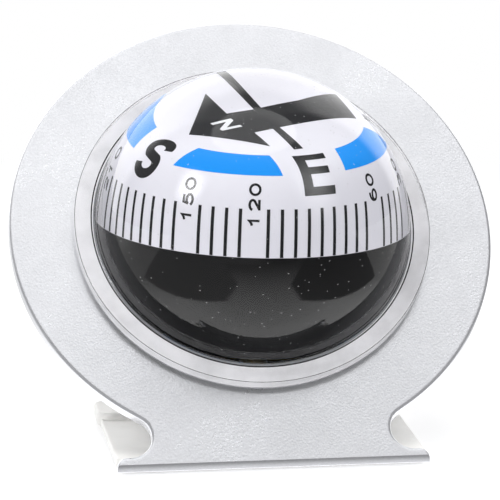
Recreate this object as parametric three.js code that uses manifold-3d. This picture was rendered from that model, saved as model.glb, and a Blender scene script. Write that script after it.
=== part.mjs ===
// Dashboard ball compass on a leaning round stand: a liquid-filled ball held in a silver face plate,
// with a floating dial balanced on a needle inside it.
// Millimetres, +Z up, +X to the viewer's right, +Y away from the viewer.
// Origin: centre of the outline box, on the surface that the compass stands on.

import * as THREE from 'three';
import { mergeVertices } from 'three/addons/utils/BufferGeometryUtils.js';
import Module from 'manifold-3d';

const wasm = await Module();
wasm.setup();

// Clearances
const bondGap = 0.1;
const seatGap = 0.1;
const runningGap = 0.1;
const holeClearance = 0.5;
const cutOverrun = 2;

// Ball: clear dome in front, black bowl behind
const ballRadius = 21.5;
const domeWall = 1.4;
const ballOffset = 0.6;
const flangeWidth = 2.75;
const flangeThickness = 0.8;
const sealThickness = 0.4;
const sealInset = 0.2;
const collarLength = 4.7;
const ringWidth = 3.6;
const ringThickness = 1.8;
const ringNotchRadius = 1.2;
const ringNotchCount = 6;

// Filler boss and plug at the back of the bowl
const bossRadius = 3.4;
const bossRise = 1.1;
const plugHeadRadius = 2.3;
const plugHeadThickness = 0.9;
const plugShankRadius = 1.5;
const plugShankLength = 1.6;
const plugSlotWidth = 0.6;
const plugSlotDepth = 0.4;
const plugSealThickness = 0.4;
const plugSealWidth = 0.5;

// Stand: leaning face plate with a waist and a foot, and a flat base behind it
const plateLeanDeg = 40;
const plateMargin = 8.75;
const plateThickness = 2;
const plateEdgeRound = 0.4;
const neckRise = 3.2;
const notchRadius = 3;
const footWidth = 41.4;
const footCornerRadius = 1.3;
const footLedge = 0.5;
const footLipHeight = 1.1;
const baseWidth = 41.2;
const baseDepth = 32.5;
const baseThickness = 1.2;
const heelDepth = 8;
const heelHeight = 2.1;
const heelOverhang = 0.45;
const heelCornerRadius = 2;
const heelEdgeRound = 0.4;
const pegWidth = 4;
const pegHeight = 0.6;
const pegReach = 1.1;
const pegSpacing = 24;
const padThickness = 0.5;
const padInset = 2.2;
const padCornerRadius = 2;

// Floating dial: cap above, weighted bowl below
const floatClearance = 3.7;
const floatWall = 1;
const crownShare = 0.685;
const crownPower = 5;
const dialLineDrop = 0.5;
const floatMouthRadius = 8.5;
const floatMouthWall = 0.8;
const floatMouthRim = 1;
const spigotWall = 1.15;
const spigotRise = 0.7;
const spigotRoot = 1.2;
const deckThickness = 1;
const hubWall = 1.5;
const hubDrop = 0.7;
const hubRise = 1.5;
const magnetWidth = 3;
const magnetHeight = 2.4;
const magnetRoom = 1.5;
const magnetSpacingShare = 0.593;
const cradleThickness = 1;
const cradleGap = 0.3;
const cradleInset = 1;
const cradleLip = 0.8;
const weightWidth = 1.7;
const weightHeight = 1.6;
const weightRise = 1.1;

// How the dial lies at rest: its heading, and its slight dip to the front and list to the right
const restHeadingDeg = 112.8;
const restDipDeg = 1.1;
const restListDeg = 1.6;

// Pivot: post, needle, jewel cup and its bush
const socketWall = 0.9;
const socketBed = 0.7;
const socketRise = 1.8;
const postFootRadius = 2.6;
const postFootHeight = 1.6;
const postRootRadius = 1.5;
const postTipRadius = 1.1;
const postTipDrop = 3.2;
const needleRadius = 0.4;
const needleBed = 2.8;
const needlePoint = 2.1;
const needleGap = 0.06;
const cupRadius = 1.6;
const cupMouthDrop = 0.9;
const cupConeDeg = 50;
const bushWall = 0.9;
const bushMouthDrop = 0.7;
const bushRise = 3;

// Steps of the round surfaces
const bigSteps = 48;
const dialSteps = 32;
const smallSteps = 16;
const discSteps = 58;
const archSteps = 10;
const bowlArchSteps = 12;
const crownSteps = 12;
const floatArchSteps = 8;
const jewelArchSteps = 5;
const bendSteps = 5;
const rimSteps = 2;

// Sizes that follow from the ones above
const DEG = Math.PI / 180;
const lean = plateLeanDeg * DEG;
const cavityRadius = ballRadius - domeWall;
const flangeRadius = ballRadius + flangeWidth;
const plateRadius = flangeRadius + plateMargin;
const discRise = plateRadius + neckRise;
const holeRadius = ballRadius + holeClearance;
const standFloor = padThickness + bondGap;
const lipFront = footLipHeight * Math.tan(lean);
const floatRadius = cavityRadius - floatClearance;
const capRise = floatRadius * crownShare + dialLineDrop;
const skirtInner = floatRadius - floatWall;
const spigotRadius = skirtInner - seatGap;
const deckFloor = spigotRise - dialLineDrop + seatGap;
const bushRadius = cupRadius + runningGap + bushWall;
const hubBore = bushRadius + runningGap;
const hubRadius = hubBore + hubWall;
const cradleTop = deckFloor - seatGap;
const bowlRim = seatGap + sealThickness;
const floatBowlDepth = Math.sqrt(floatRadius ** 2 - (floatMouthRadius + floatMouthWall) ** 2);
const weightDrop = floatBowlDepth - floatMouthRim - weightRise;
const magnetReach = spigotRadius - spigotWall - magnetRoom;
const magnetOffset = magnetReach * magnetSpacingShare;
const lipEnd = Math.sqrt(magnetReach ** 2 - (magnetOffset + magnetWidth / 2) ** 2);
const magnetHalfLength = lipEnd - cradleLip - seatGap;

// Shapes and solids

/** Points along an arc of a circle, both ends included; angles in degrees. */
function arcPoints(x, y, radius, fromDeg, toDeg, steps) {
  const points = [];
  for (let i = 0; i <= steps; i += 1) {
    const angle = (fromDeg + ((toDeg - fromDeg) * i) / steps) * DEG;
    points.push(new THREE.Vector2(x + radius * Math.cos(angle), y + radius * Math.sin(angle)));
  }
  return points;
}

/** A profile point: distance from the axis, and height along it. */
function at(radius, height) {
  return new THREE.Vector2(radius, height);
}

/** Where a sphere of this radius has the given height, in degrees above its equator. */
function latitude(radius, height) {
  return Math.asin(height / radius) / DEG;
}

/** A solid turned about Z from an outline that starts and ends on the axis. */
function turned(profile, steps) {
  return new THREE.LatheGeometry(profile, steps).rotateX(Math.PI / 2);
}

/** A ring turned about Z from an outline that closes on itself. */
function turnedRing(profile, steps) {
  return turned([...profile, profile[0]], steps);
}

/** The geometry as a solid for cutting and joining. */
function solid(geometry) {
  const bare = geometry.clone();
  bare.deleteAttribute('normal');
  bare.deleteAttribute('uv');
  const merged = mergeVertices(bare);
  const corners = merged.index.array;
  const kept = [];
  for (let i = 0; i < corners.length; i += 3) {
    const [a, b, c] = [corners[i], corners[i + 1], corners[i + 2]];
    if (a !== b && b !== c && c !== a) kept.push(a, b, c);
  }
  return new wasm.Manifold(new wasm.Mesh({
    numProp: 3,
    vertProperties: new Float32Array(merged.attributes.position.array),
    triVerts: new Uint32Array(kept),
  }));
}

/** A cut or joined solid as a geometry again. */
function surface(body) {
  const mesh = body.getMesh();
  const geometry = new THREE.BufferGeometry();
  geometry.setAttribute('position', new THREE.BufferAttribute(mesh.vertProperties, 3));
  geometry.setIndex(new THREE.BufferAttribute(mesh.triVerts, 1));
  geometry.computeVertexNormals();
  return geometry;
}

/** A box by its lowest and highest corners. */
function block(low, high) {
  const size = high.clone().sub(low);
  const middle = low.clone().add(high).multiplyScalar(1 / 2);
  return new THREE.BoxGeometry(size.x, size.y, size.z).translate(middle.x, middle.y, middle.z);
}

/** A straight cylinder along Z between two heights. */
function rod(radius, low, high, steps) {
  return turned([at(0, low), at(radius, low), at(radius, high), at(0, high)], steps);
}

/** A flat outline given a thickness, from z = 0 upwards, with rounded rims where asked. */
function sheet(outline, thickness, rim, holes = []) {
  const shape = new THREE.Shape(outline);
  for (const hole of holes) shape.holes.push(new THREE.Path(hole));
  const geometry = new THREE.ExtrudeGeometry(shape, {
    depth: thickness - 2 * rim,
    bevelEnabled: rim > 0,
    bevelThickness: rim,
    bevelSize: rim,
    bevelOffset: -rim,
    bevelSegments: rimSteps,
    steps: 1,
  });
  return geometry.translate(0, 0, rim);
}

/** A rectangle with rounded corners, by its sides. */
function roundedRectangle(left, right, front, back, radius) {
  return [
    ...arcPoints(right - radius, back - radius, radius, 0, 90, bendSteps),
    ...arcPoints(left + radius, back - radius, radius, 90, 180, bendSteps),
    ...arcPoints(left + radius, front + radius, radius, 180, 270, bendSteps),
    ...arcPoints(right - radius, front + radius, radius, 270, 360, bendSteps),
  ];
}

/** A named piece with its own finish. */
function piece(name, geometry, color, roughness, metalness = 0) {
  const mesh = new THREE.Mesh(geometry, new THREE.MeshStandardMaterial({ color, roughness, metalness }));
  mesh.name = name;
  return mesh;
}

// Frames: the plate's own plane leans back, the pivot stands upright in the ball, and the dial floats on it

const leaning = new THREE.Group();
leaning.position.z = standFloor;
leaning.rotation.x = Math.PI / 2 - lean;

const ball = new THREE.Group();
ball.position.y = discRise;
leaning.add(ball);

const ballCentre = new THREE.Vector3(
  0,
  discRise * Math.sin(lean) - ballOffset * Math.cos(lean),
  standFloor + discRise * Math.cos(lean) + ballOffset * Math.sin(lean),
);
const upright = new THREE.Group();
upright.position.copy(ballCentre);

const floating = new THREE.Group();
floating.rotation.set(restDipDeg * DEG, restListDeg * DEG, 0);
upright.add(floating);

const dial = new THREE.Group();
dial.rotation.z = restHeadingDeg * DEG;
floating.add(dial);

/** A geometry made in the stand's own frame, brought into the leaning plate's frame. */
function intoLeaning(geometry) {
  leaning.updateMatrix();
  return geometry.clone().applyMatrix4(leaning.matrix.clone().invert());
}

// Stand

/** Outline of the plate: disc, two round notches that make the waist, and the foot. */
function plateOutline() {
  const footHalf = footWidth / 2;
  const notchX = footHalf - footCornerRadius - footLedge;
  const notchY = discRise - Math.sqrt((plateRadius + notchRadius) ** 2 - notchX ** 2);
  const footTop = notchY - notchRadius;
  const turn = Math.atan2(discRise - notchY, -notchX) / DEG;
  const right = [
    at(footHalf, -cutOverrun),
    ...arcPoints(footHalf - footCornerRadius, footTop - footCornerRadius, footCornerRadius, 0, 90, bendSteps),
    ...arcPoints(notchX, notchY, notchRadius, 270, turn, archSteps),
  ];
  const disc = arcPoints(0, discRise, plateRadius, turn - 180, 360 - turn, discSteps);
  const left = right.map((point) => at(-point.x, point.y)).reverse();
  return [...right, ...disc.slice(1, -1), ...left];
}

/** Sockets in the back of the foot that take the base's two pegs. */
function pegBlocks(growth, reach) {
  const middle = standFloor + baseThickness / 2;
  const back = lipFront + plateThickness / Math.cos(lean) + cutOverrun;
  return [-1, 1].map((side) => block(
    new THREE.Vector3(side * pegSpacing / 2 - pegWidth / 2 - growth, back - reach, middle - pegHeight / 2 - growth),
    new THREE.Vector3(side * pegSpacing / 2 + pegWidth / 2 + growth, back + growth, middle + pegHeight / 2 + growth),
  ));
}

/** Silver face plate, its foot cut level below and upright in front. */
function frontPlate() {
  const hole = arcPoints(0, discRise, holeRadius, 0, 360, bigSteps).slice(1);
  const plate = sheet(plateOutline(), plateThickness, plateEdgeRound, [hole]).translate(0, 0, -plateThickness);
  const below = block(
    new THREE.Vector3(-footWidth, -footWidth, standFloor - footWidth),
    new THREE.Vector3(footWidth, footWidth, standFloor),
  );
  const ahead = block(
    new THREE.Vector3(-footWidth, -footWidth, -footWidth),
    new THREE.Vector3(footWidth, lipFront, footWidth),
  );
  let body = solid(plate).subtract(solid(intoLeaning(below))).subtract(solid(intoLeaning(ahead)));
  for (const peg of pegBlocks(bondGap, cutOverrun + pegReach + bondGap)) {
    body = body.subtract(solid(intoLeaning(peg)));
  }
  return piece('front_plate', surface(body), 0xd9dadf, 0.38, 0.55);
}

/** Cream base with a thicker heel, its front edge sloped to the plate, and two pegs. */
function basePlate() {
  const half = baseWidth / 2;
  const flat = sheet(
    roundedRectangle(-half, half, 0, baseDepth - heelCornerRadius, heelCornerRadius), baseThickness, 0,
  );
  const heelHalf = half + heelOverhang;
  const heel = sheet(
    roundedRectangle(-heelHalf, heelHalf, baseDepth - heelDepth, baseDepth, heelCornerRadius),
    heelHeight,
    heelEdgeRound,
  );
  const clearance = block(
    new THREE.Vector3(-footWidth, -footWidth, -plateThickness - bondGap),
    new THREE.Vector3(footWidth, footWidth, footWidth),
  ).applyMatrix4(leaning.matrix);
  let body = solid(flat).add(solid(heel)).translate(0, 0, standFloor).subtract(solid(clearance));
  for (const peg of pegBlocks(0, cutOverrun + pegReach)) body = body.add(solid(peg));
  return piece('base_plate', surface(body), 0xe9e5dd, 0.5);
}

/** Foam pad that sticks the base to the dashboard. */
function adhesivePad() {
  const half = baseWidth / 2 - padInset;
  const front = lipFront + plateThickness / Math.cos(lean) + padInset;
  const outline = roundedRectangle(-half, half, front, baseDepth - padInset, padCornerRadius);
  return piece('adhesive_pad', sheet(outline, padThickness, 0), 0xf2f0ea, 0.9);
}

// Ball housing, turned about the plate's own normal

/** Clear dome with the flat flange that lies on the plate. */
function frontDome() {
  const flangeTop = seatGap + flangeThickness;
  const profile = [
    ...arcPoints(0, ballOffset, cavityRadius, latitude(cavityRadius, seatGap - ballOffset), 90, archSteps).reverse(),
    at(flangeRadius, seatGap),
    at(flangeRadius, flangeTop),
    ...arcPoints(0, ballOffset, ballRadius, latitude(ballRadius, flangeTop - ballOffset), 90, archSteps),
  ];
  profile[0].x = 0;
  profile[profile.length - 1].x = 0;
  return piece('front_dome', turned(profile, bigSteps), 0xeef2f6, 0.04);
}

/** Thin seal between the dome and the bowl. */
function sealRing() {
  const inner = cavityRadius + sealInset;
  const outer = ballRadius - sealInset;
  const profile = [at(inner, -sealThickness), at(outer, -sealThickness), at(outer, 0), at(inner, 0)];
  return piece('seal_ring', turnedRing(profile, bigSteps), 0x202020, 0.8);
}

/** Black bowl with a collar, a filler boss at its back and a socket for the pivot post. */
function rearBowl() {
  const rim = -bowlRim;
  const collarEnd = -plateThickness - collarLength;
  const boreRadius = plugShankRadius + runningGap;
  const recessRadius = plugHeadRadius + runningGap;
  const bossFace = ballOffset - ballRadius - bossRise;
  const recessFloor = bossFace + plugHeadThickness + plugSealThickness + 2 * seatGap;
  const outerFrom = latitude(ballRadius, collarEnd - ballOffset);
  const outerTo = -Math.acos(bossRadius / ballRadius) / DEG;
  const innerFrom = -Math.acos(boreRadius / cavityRadius) / DEG;
  const innerTo = latitude(cavityRadius, rim - ballOffset);
  const profile = [
    at(ballRadius, rim),
    ...arcPoints(0, ballOffset, cavityRadius, innerTo, innerFrom, bowlArchSteps),
    at(boreRadius, recessFloor),
    at(recessRadius, recessFloor),
    at(recessRadius, bossFace),
    at(bossRadius, bossFace),
    ...arcPoints(0, ballOffset, ballRadius, outerTo, outerFrom, bowlArchSteps),
    at(ballRadius, collarEnd),
  ];
  const shell = solid(turnedRing(profile, bigSteps));
  const pocketRadius = postFootRadius + runningGap;
  const tower = rod(pocketRadius + socketWall, -cavityRadius - domeWall, socketFloor() + socketRise, smallSteps);
  const pocket = rod(pocketRadius, socketFloor(), 0, smallSteps);
  const toBall = new THREE.Matrix4().makeRotationX(lean - Math.PI / 2);
  toBall.setPosition(0, 0, ballOffset);
  const boss = solid(tower.applyMatrix4(toBall)).intersect(cavityBall());
  const body = shell.add(boss).subtract(solid(pocket.applyMatrix4(toBall)));
  return piece('rear_bowl', surface(body), 0x17181a, 0.35);
}

/** Height of the socket's floor, measured from the ball's centre. */
function socketFloor() {
  return -cavityRadius + socketBed;
}

/** A ball that reaches half way into the wall, to trim what grows out of it. */
function cavityBall() {
  const reach = cavityRadius + domeWall / 2;
  const profile = arcPoints(0, ballOffset, reach, -90, 90, bigSteps / 2);
  profile[0].x = 0;
  profile[profile.length - 1].x = 0;
  return solid(turned(profile, bigSteps));
}

/** Ring that holds the ball from behind, with notches to turn it by. */
function lockRing() {
  const top = -plateThickness - seatGap;
  const bottom = top - ringThickness;
  const inner = ballRadius + runningGap;
  const outer = inner + ringWidth;
  let body = solid(turnedRing([at(inner, bottom), at(outer, bottom), at(outer, top), at(inner, top)], bigSteps));
  for (let i = 0; i < ringNotchCount; i += 1) {
    const angle = ((i + 1 / 2) / ringNotchCount) * 2 * Math.PI;
    const notch = rod(ringNotchRadius, bottom - cutOverrun, top + cutOverrun, smallSteps);
    notch.translate(outer * Math.cos(angle), outer * Math.sin(angle), 0);
    body = body.subtract(solid(notch));
  }
  return piece('lock_ring', surface(body), 0x1b1c1e, 0.5);
}

/** Slotted plug that closes the filler hole. */
function fillerPlug() {
  const face = ballOffset - ballRadius - bossRise;
  const under = face + plugHeadThickness;
  const end = under + plugShankLength;
  const head = turned([
    at(0, face),
    at(plugHeadRadius, face),
    at(plugHeadRadius, under),
    at(plugShankRadius, under),
    at(plugShankRadius, end),
    at(0, end),
  ], smallSteps);
  const slot = block(
    new THREE.Vector3(-plugHeadRadius - cutOverrun, -plugSlotWidth / 2, face - cutOverrun),
    new THREE.Vector3(plugHeadRadius + cutOverrun, plugSlotWidth / 2, face + plugSlotDepth),
  );
  return piece('filler_plug', surface(solid(head).subtract(solid(slot))), 0xb08d4a, 0.35, 0.9);
}

/** Small seal under the plug's head. */
function plugSeal() {
  const low = ballOffset - ballRadius - bossRise + plugHeadThickness + seatGap;
  const inner = plugShankRadius + runningGap;
  const outer = inner + plugSealWidth;
  const profile = [at(inner, low), at(outer, low), at(outer, low + plugSealThickness), at(inner, low + plugSealThickness)];
  return piece('plug_seal', turnedRing(profile, smallSteps), 0x202020, 0.85);
}

// Pivot, upright in the ball

/** Post that carries the needle, its foot set in the bowl's socket. */
function pivotPost() {
  const foot = socketFloor() + seatGap;
  const bore = needleRadius + runningGap;
  const bed = -postTipDrop - needleBed - seatGap;
  const profile = [
    at(0, foot),
    at(postFootRadius, foot),
    at(postFootRadius, foot + postFootHeight),
    at(postRootRadius, foot + postFootHeight),
    at(postTipRadius, -postTipDrop),
    at(bore, -postTipDrop),
    at(bore, bed),
    at(0, bed),
  ];
  return piece('pivot_post', turned(profile, smallSteps), 0xb08d4a, 0.35, 0.9);
}

/** Hardened needle with its point at the centre of the ball. */
function pivotNeedle() {
  const profile = [
    at(0, -postTipDrop - needleBed),
    at(needleRadius, -postTipDrop - needleBed),
    at(needleRadius, -needlePoint - needleGap),
    at(0, -needleGap),
  ];
  return piece('pivot_needle', turned(profile, smallSteps), 0xb9bcc0, 0.2, 1);
}

/** Jewel cup that rides on the needle's point. */
function jewelCup() {
  const mouth = cupMouthDrop * Math.tan(cupConeDeg * DEG);
  const profile = [
    at(0, 0),
    at(mouth, -cupMouthDrop),
    ...arcPoints(0, 0, cupRadius, latitude(cupRadius, -cupMouthDrop), 90, jewelArchSteps),
  ];
  profile[profile.length - 1].x = 0;
  return piece('jewel_cup', turned(profile, smallSteps), 0xa8324a, 0.1);
}

/** Brass bush that wraps the cup. */
function jewelBush() {
  const hollow = cupRadius + runningGap;
  const profile = [
    ...arcPoints(0, 0, hollow, 90, latitude(hollow, -bushMouthDrop), jewelArchSteps),
    at(bushRadius, -bushMouthDrop),
    at(bushRadius, bushRise),
    at(0, bushRise),
  ];
  profile[0].x = 0;
  return piece('jewel_bush', turned(profile, smallSteps), 0xb08d4a, 0.35, 0.9);
}

// Floating dial

/** Half outline of the cap: an upright skirt that turns into a low crown. */
function crownPoints(radius, rise, fromTop) {
  const points = [];
  for (let i = 0; i <= crownSteps; i += 1) {
    const angle = ((fromTop ? crownSteps - i : i) / crownSteps) * (Math.PI / 2);
    const out = Math.abs(Math.cos(angle)) ** (2 / crownPower);
    const up = Math.abs(Math.sin(angle)) ** (2 / crownPower);
    points.push(at(i === (fromTop ? 0 : crownSteps) ? 0 : radius * out, rise * up - dialLineDrop));
  }
  return points;
}

/** White cap that carries the printed dial. */
function dialCap() {
  const profile = [
    ...crownPoints(skirtInner, capRise - floatWall, true),
    ...crownPoints(floatRadius, capRise, false),
  ];
  return piece('dial_cap', turned(profile, dialSteps), 0xe8e6ee, 0.45);
}

/** Black lower half of the float, open below around the post. */
function floatBowl() {
  const rim = -dialLineDrop - seatGap;
  const inner = floatRadius - floatWall;
  const root = rim - spigotRoot;
  const spigotInner = spigotRadius - spigotWall;
  const outerEnd = latitude(floatRadius, -floatBowlDepth);
  const innerFrom = latitude(inner, root - spigotWall);
  const profile = [
    at(floatMouthRadius, -floatBowlDepth),
    ...arcPoints(0, 0, floatRadius, outerEnd, latitude(floatRadius, rim), floatArchSteps),
    at(spigotRadius, rim),
    at(spigotRadius, spigotRise - dialLineDrop),
    at(spigotInner, spigotRise - dialLineDrop),
    at(spigotInner, root),
    ...arcPoints(0, 0, inner, innerFrom, latitude(inner, floatMouthRim - floatBowlDepth), floatArchSteps),
    at(floatMouthRadius, -floatBowlDepth + floatMouthRim),
  ];
  return piece('float_bowl', turnedRing(profile, dialSteps), 0x141416, 0.3);
}

/** Deck that closes the float's air space, with the hub that takes the bush. */
function floatDeck() {
  const top = deckFloor + deckThickness;
  const outer = skirtInner - seatGap;
  const profile = [
    at(hubBore, deckFloor - hubDrop),
    at(hubRadius, deckFloor - hubDrop),
    at(hubRadius, deckFloor),
    at(outer, deckFloor),
    at(outer, top),
    at(hubRadius, top),
    at(hubRadius, top + hubRise),
    at(hubBore, top + hubRise),
  ];
  return piece('float_deck', turnedRing(profile, dialSteps), 0xc9c9c4, 0.6);
}

/** Lowest corner of a magnet's box. */
function magnetFloor() {
  return cradleTop - cradleThickness - seatGap - magnetHeight;
}

/** Cradle under the deck with lips at both ends of each magnet. */
function magnetCradle() {
  const bottom = cradleTop - cradleThickness;
  const outer = magnetReach - cradleInset;
  const inner = hubRadius + cradleGap;
  let body = solid(turnedRing([
    at(inner, bottom),
    at(outer, bottom),
    at(outer, cradleTop),
    at(inner, cradleTop),
  ], dialSteps));
  for (const side of [-1, 1]) {
    for (const end of [-1, 1]) {
      const start = end * (lipEnd - cradleLip);
      const stop = end * lipEnd;
      const half = magnetWidth / 2;
      const lip = block(
        new THREE.Vector3(side * magnetOffset - half, Math.min(start, stop), magnetFloor()),
        new THREE.Vector3(side * magnetOffset + half, Math.max(start, stop), cradleTop),
      );
      body = body.add(solid(lip));
    }
  }
  return piece('magnet_cradle', surface(body), 0x6d6f70, 0.6);
}

/** One of the two bar magnets that turn the dial north. */
function magnet(name, side) {
  const low = magnetFloor();
  const half = magnetWidth / 2;
  const box = block(
    new THREE.Vector3(side * magnetOffset - half, -magnetHalfLength, low),
    new THREE.Vector3(side * magnetOffset + half, magnetHalfLength, low + magnetHeight),
  );
  return piece(name, box, 0x4a4d50, 0.4, 0.6);
}

/** Brass ring low in the float that keeps the dial level. */
function balanceWeight() {
  const outer = Math.sqrt((skirtInner - seatGap) ** 2 - weightDrop ** 2) - seatGap;
  const inner = outer - weightWidth;
  const top = -weightDrop + weightHeight;
  const profile = [at(inner, -weightDrop), at(outer, -weightDrop), at(outer, top), at(inner, top)];
  return piece('balance_weight', turnedRing(profile, dialSteps), 0xb08d4a, 0.35, 0.9);
}

// Assembly

leaning.updateMatrix();
leaning.add(frontPlate());
ball.add(frontDome(), sealRing(), rearBowl(), lockRing(), fillerPlug(), plugSeal());
upright.add(pivotPost(), pivotNeedle());
floating.add(jewelCup(), jewelBush());
dial.add(
  dialCap(),
  floatBowl(),
  floatDeck(),
  magnetCradle(),
  magnet('magnet_left', -1),
  magnet('magnet_right', 1),
  balanceWeight(),
);

const compass = new THREE.Group();
compass.add(leaning, upright, basePlate(), adhesivePad());
compass.updateMatrixWorld(true);
const outlineBox = new THREE.Box3().setFromObject(compass, true);
const middle = outlineBox.getCenter(new THREE.Vector3());
compass.position.set(-middle.x, -middle.y, -outlineBox.min.z);

export default compass;
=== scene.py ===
"""Looks of a dashboard ball compass: a clear liquid-filled ball in a leaning silver plate on a cream base.

Each sub-assembly is a class that holds its sizes in millimetres, in its own frame, and builds its meshes
and their finishes. The frames come from Stance, which repeats how the plate leans and how the dial lies.
"""

import logging
import math
from collections.abc import Callable, Sequence
from dataclasses import dataclass, field
from enum import Enum

import bmesh
import bpy
from mathutils import Matrix, Vector, noise
from mathutils.geometry import tessellate_polygon


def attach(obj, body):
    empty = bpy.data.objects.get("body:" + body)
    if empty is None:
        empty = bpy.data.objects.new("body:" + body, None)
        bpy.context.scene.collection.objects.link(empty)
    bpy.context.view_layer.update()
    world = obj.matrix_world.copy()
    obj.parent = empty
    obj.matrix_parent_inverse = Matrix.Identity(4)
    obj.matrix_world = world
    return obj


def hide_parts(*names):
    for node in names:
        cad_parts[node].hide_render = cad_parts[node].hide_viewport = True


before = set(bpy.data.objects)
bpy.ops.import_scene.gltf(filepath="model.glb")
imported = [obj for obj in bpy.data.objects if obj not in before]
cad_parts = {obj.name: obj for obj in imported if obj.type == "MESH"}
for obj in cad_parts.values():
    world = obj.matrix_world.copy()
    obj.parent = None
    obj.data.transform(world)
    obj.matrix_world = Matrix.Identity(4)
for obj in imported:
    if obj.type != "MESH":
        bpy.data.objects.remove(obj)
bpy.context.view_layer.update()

LOG = logging.getLogger("compass")
MM = 0.001
TINY = 1e-6
CUT_REACH = 1e-5
ROUND_STEPS = 192
FINE_STEPS = 224
RIM_STEPS = 6
CROWN_STEPS = 1800
Point = tuple[float, float]
Pair = tuple[float, float]
Rgb = tuple[float, float, float]
Rgba = tuple[float, float, float, float]
Socket = bpy.types.NodeSocket
Verts = list[bmesh.types.BMVert]
Outline = Callable[[float], list[Point]]


class Body(Enum):
    """The bodies that carry the scene's own pieces."""

    HOUSING = "housing"
    DIAL = "dial"


class Slot(Enum):
    """Names of material slots that are handed to fit_piece with each piece."""

    SILVER = "silver_paint"
    CREAM = "cream_plastic"
    FOAM = "foam_tape"
    CLEAR = "clear_acrylic"
    HOUSING = "black_housing"
    SEAL = "seal_rubber"
    DIAL = "dial_white"
    FLOAT = "float_black"
    BRASS = "brass"


@dataclass(frozen=True)
class Stance:
    """How the plate leans and how the dial lies at rest; millimetres and degrees."""

    corner_y: float = -23.3854
    corner_z: float = 0.6
    lean_deg: float = 40.0
    disc_rise: float = 36.2
    ball_offset: float = 0.6
    dip_deg: float = 1.1
    list_deg: float = 1.6
    heading_deg: float = 111.0
    float_shift: float = 0.45

    def stand(self) -> Matrix:
        """Frame of the stand: upright, on the front corner line of the plate, at the base's underside."""
        return Matrix.Scale(MM, 4) @ Matrix.Translation((0, self.corner_y, self.corner_z))

    def plate(self) -> Matrix:
        """Frame of the leaning plate: y up its face, z out of its face."""
        return self.stand() @ Matrix.Rotation(math.pi / 2 - math.radians(self.lean_deg), 4, "X")

    def ball(self) -> Matrix:
        """The plate's frame moved up to the middle of its disc."""
        return self.plate() @ Matrix.Translation((0, self.disc_rise, 0))

    def upright(self) -> Matrix:
        """Frame at the centre of the ball with z straight up."""
        centre = self.ball() @ Vector((0, 0, self.ball_offset))
        return Matrix.Translation(centre) @ Matrix.Scale(MM, 4)

    def dial(self) -> Matrix:
        """Frame of the floating dial, a little to the right, dipped, listed and turned to its heading."""
        aside = Matrix.Translation((self.float_shift, 0, 0))
        dip = Matrix.Rotation(math.radians(self.dip_deg), 4, "X")
        lean = Matrix.Rotation(math.radians(self.list_deg), 4, "Y")
        return self.upright() @ aside @ dip @ lean @ Matrix.Rotation(math.radians(self.heading_deg), 4, "Z")


def linear(colour: Rgb) -> Rgba:
    """A colour written as 0 to 255 in sRGB, as linear RGBA."""
    parts = [c / 255 for c in colour]
    return (*[c / 12.92 if c <= 0.04045 else ((c + 0.055) / 1.055) ** 2.4 for c in parts], 1.0)


def toned(colour: Rgba, share: float, lift: float = 0.0) -> Rgba:
    """A linear colour times a share, plus a lift, and never above white."""
    return (*[min(1.0, c * share + lift) for c in colour[:3]], 1.0)


def toward(azimuth: float, elevation: float) -> Vector:
    """The direction at an azimuth, from the front to the right, and an elevation, in degrees."""
    turn, up = math.radians(azimuth), math.radians(elevation)
    return Vector((math.sin(turn) * math.cos(up), -math.cos(turn) * math.cos(up), math.sin(up)))


def arc(x: float, y: float, radius: float, start: float, end: float, steps: int) -> list[Point]:
    """Points along an arc of a circle, both ends included.

    Args:
        x: Centre across.
        y: Centre up.
        radius: Radius of the circle.
        start: First angle in degrees.
        end: Last angle in degrees.
        steps: Number of chords.

    Returns:
        The points in order.
    """
    turns = [math.radians(start + (end - start) * i / steps) for i in range(steps + 1)]
    return [(x + radius * math.cos(t), y + radius * math.sin(t)) for t in turns]


def latitude(radius: float, height: float) -> float:
    """Where a sphere has the given height above its centre, in degrees."""
    return math.degrees(math.asin(height / radius))


def filleted(corners: Sequence[tuple[float, float, float]], closed: bool, steps: int = 5) -> list[Point]:
    """Rounds the corners of an outline.

    Args:
        corners: Points as (x, y, radius), where a radius of 0 leaves the corner sharp.
        closed: Whether the last point joins the first.
        steps: Chords in each rounded corner.

    Returns:
        The outline with an arc at each rounded corner.
    """
    count = len(corners)
    points: list[Point] = []
    for i, (x, y, radius) in enumerate(corners):
        at_end = not closed and i in (0, count - 1)
        if radius <= 0 or at_end:
            points.append((x, y))
            continue
        here = Vector((x, y))
        back = (Vector(corners[i - 1][:2]) - here).normalized()
        ahead = (Vector(corners[(i + 1) % count][:2]) - here).normalized()
        half = math.acos(max(-1.0, min(1.0, back.dot(ahead)))) / 2
        centre = here + (back + ahead).normalized() * (radius / math.sin(half))
        first = here + back * (radius / math.tan(half)) - centre
        last = here + ahead * (radius / math.tan(half)) - centre
        start = math.atan2(first.y, first.x)
        swing = (math.atan2(last.y, last.x) - start + math.pi) % (2 * math.pi) - math.pi
        points += arc(centre.x, centre.y, radius, math.degrees(start), math.degrees(start + swing), steps)
    return points


def baked(thing: bpy.types.Object) -> bpy.types.Object:
    """Turns an object's modifiers into plain mesh.

    Args:
        thing: The object with its modifiers.

    Returns:
        The same object, its mesh replaced and its modifiers gone.
    """
    bpy.context.view_layer.update()
    shaped = thing.evaluated_get(bpy.context.evaluated_depsgraph_get())
    mesh = bpy.data.meshes.new_from_object(shaped)
    mesh.name = thing.name
    thing.modifiers.clear()
    thing.data = mesh
    return thing


def combined(thing: bpy.types.Object, other: bpy.types.Object, operation: str) -> None:
    """Applies a boolean to an object and removes the other one.

    Args:
        thing: The object that is changed.
        other: What is added to it or taken from it.
        operation: UNION or DIFFERENCE.
    """
    join = thing.modifiers.new(operation.lower(), "BOOLEAN")
    join.operation, join.solver, join.object = operation, "EXACT", other
    baked(thing)
    bpy.data.objects.remove(other)


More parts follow.
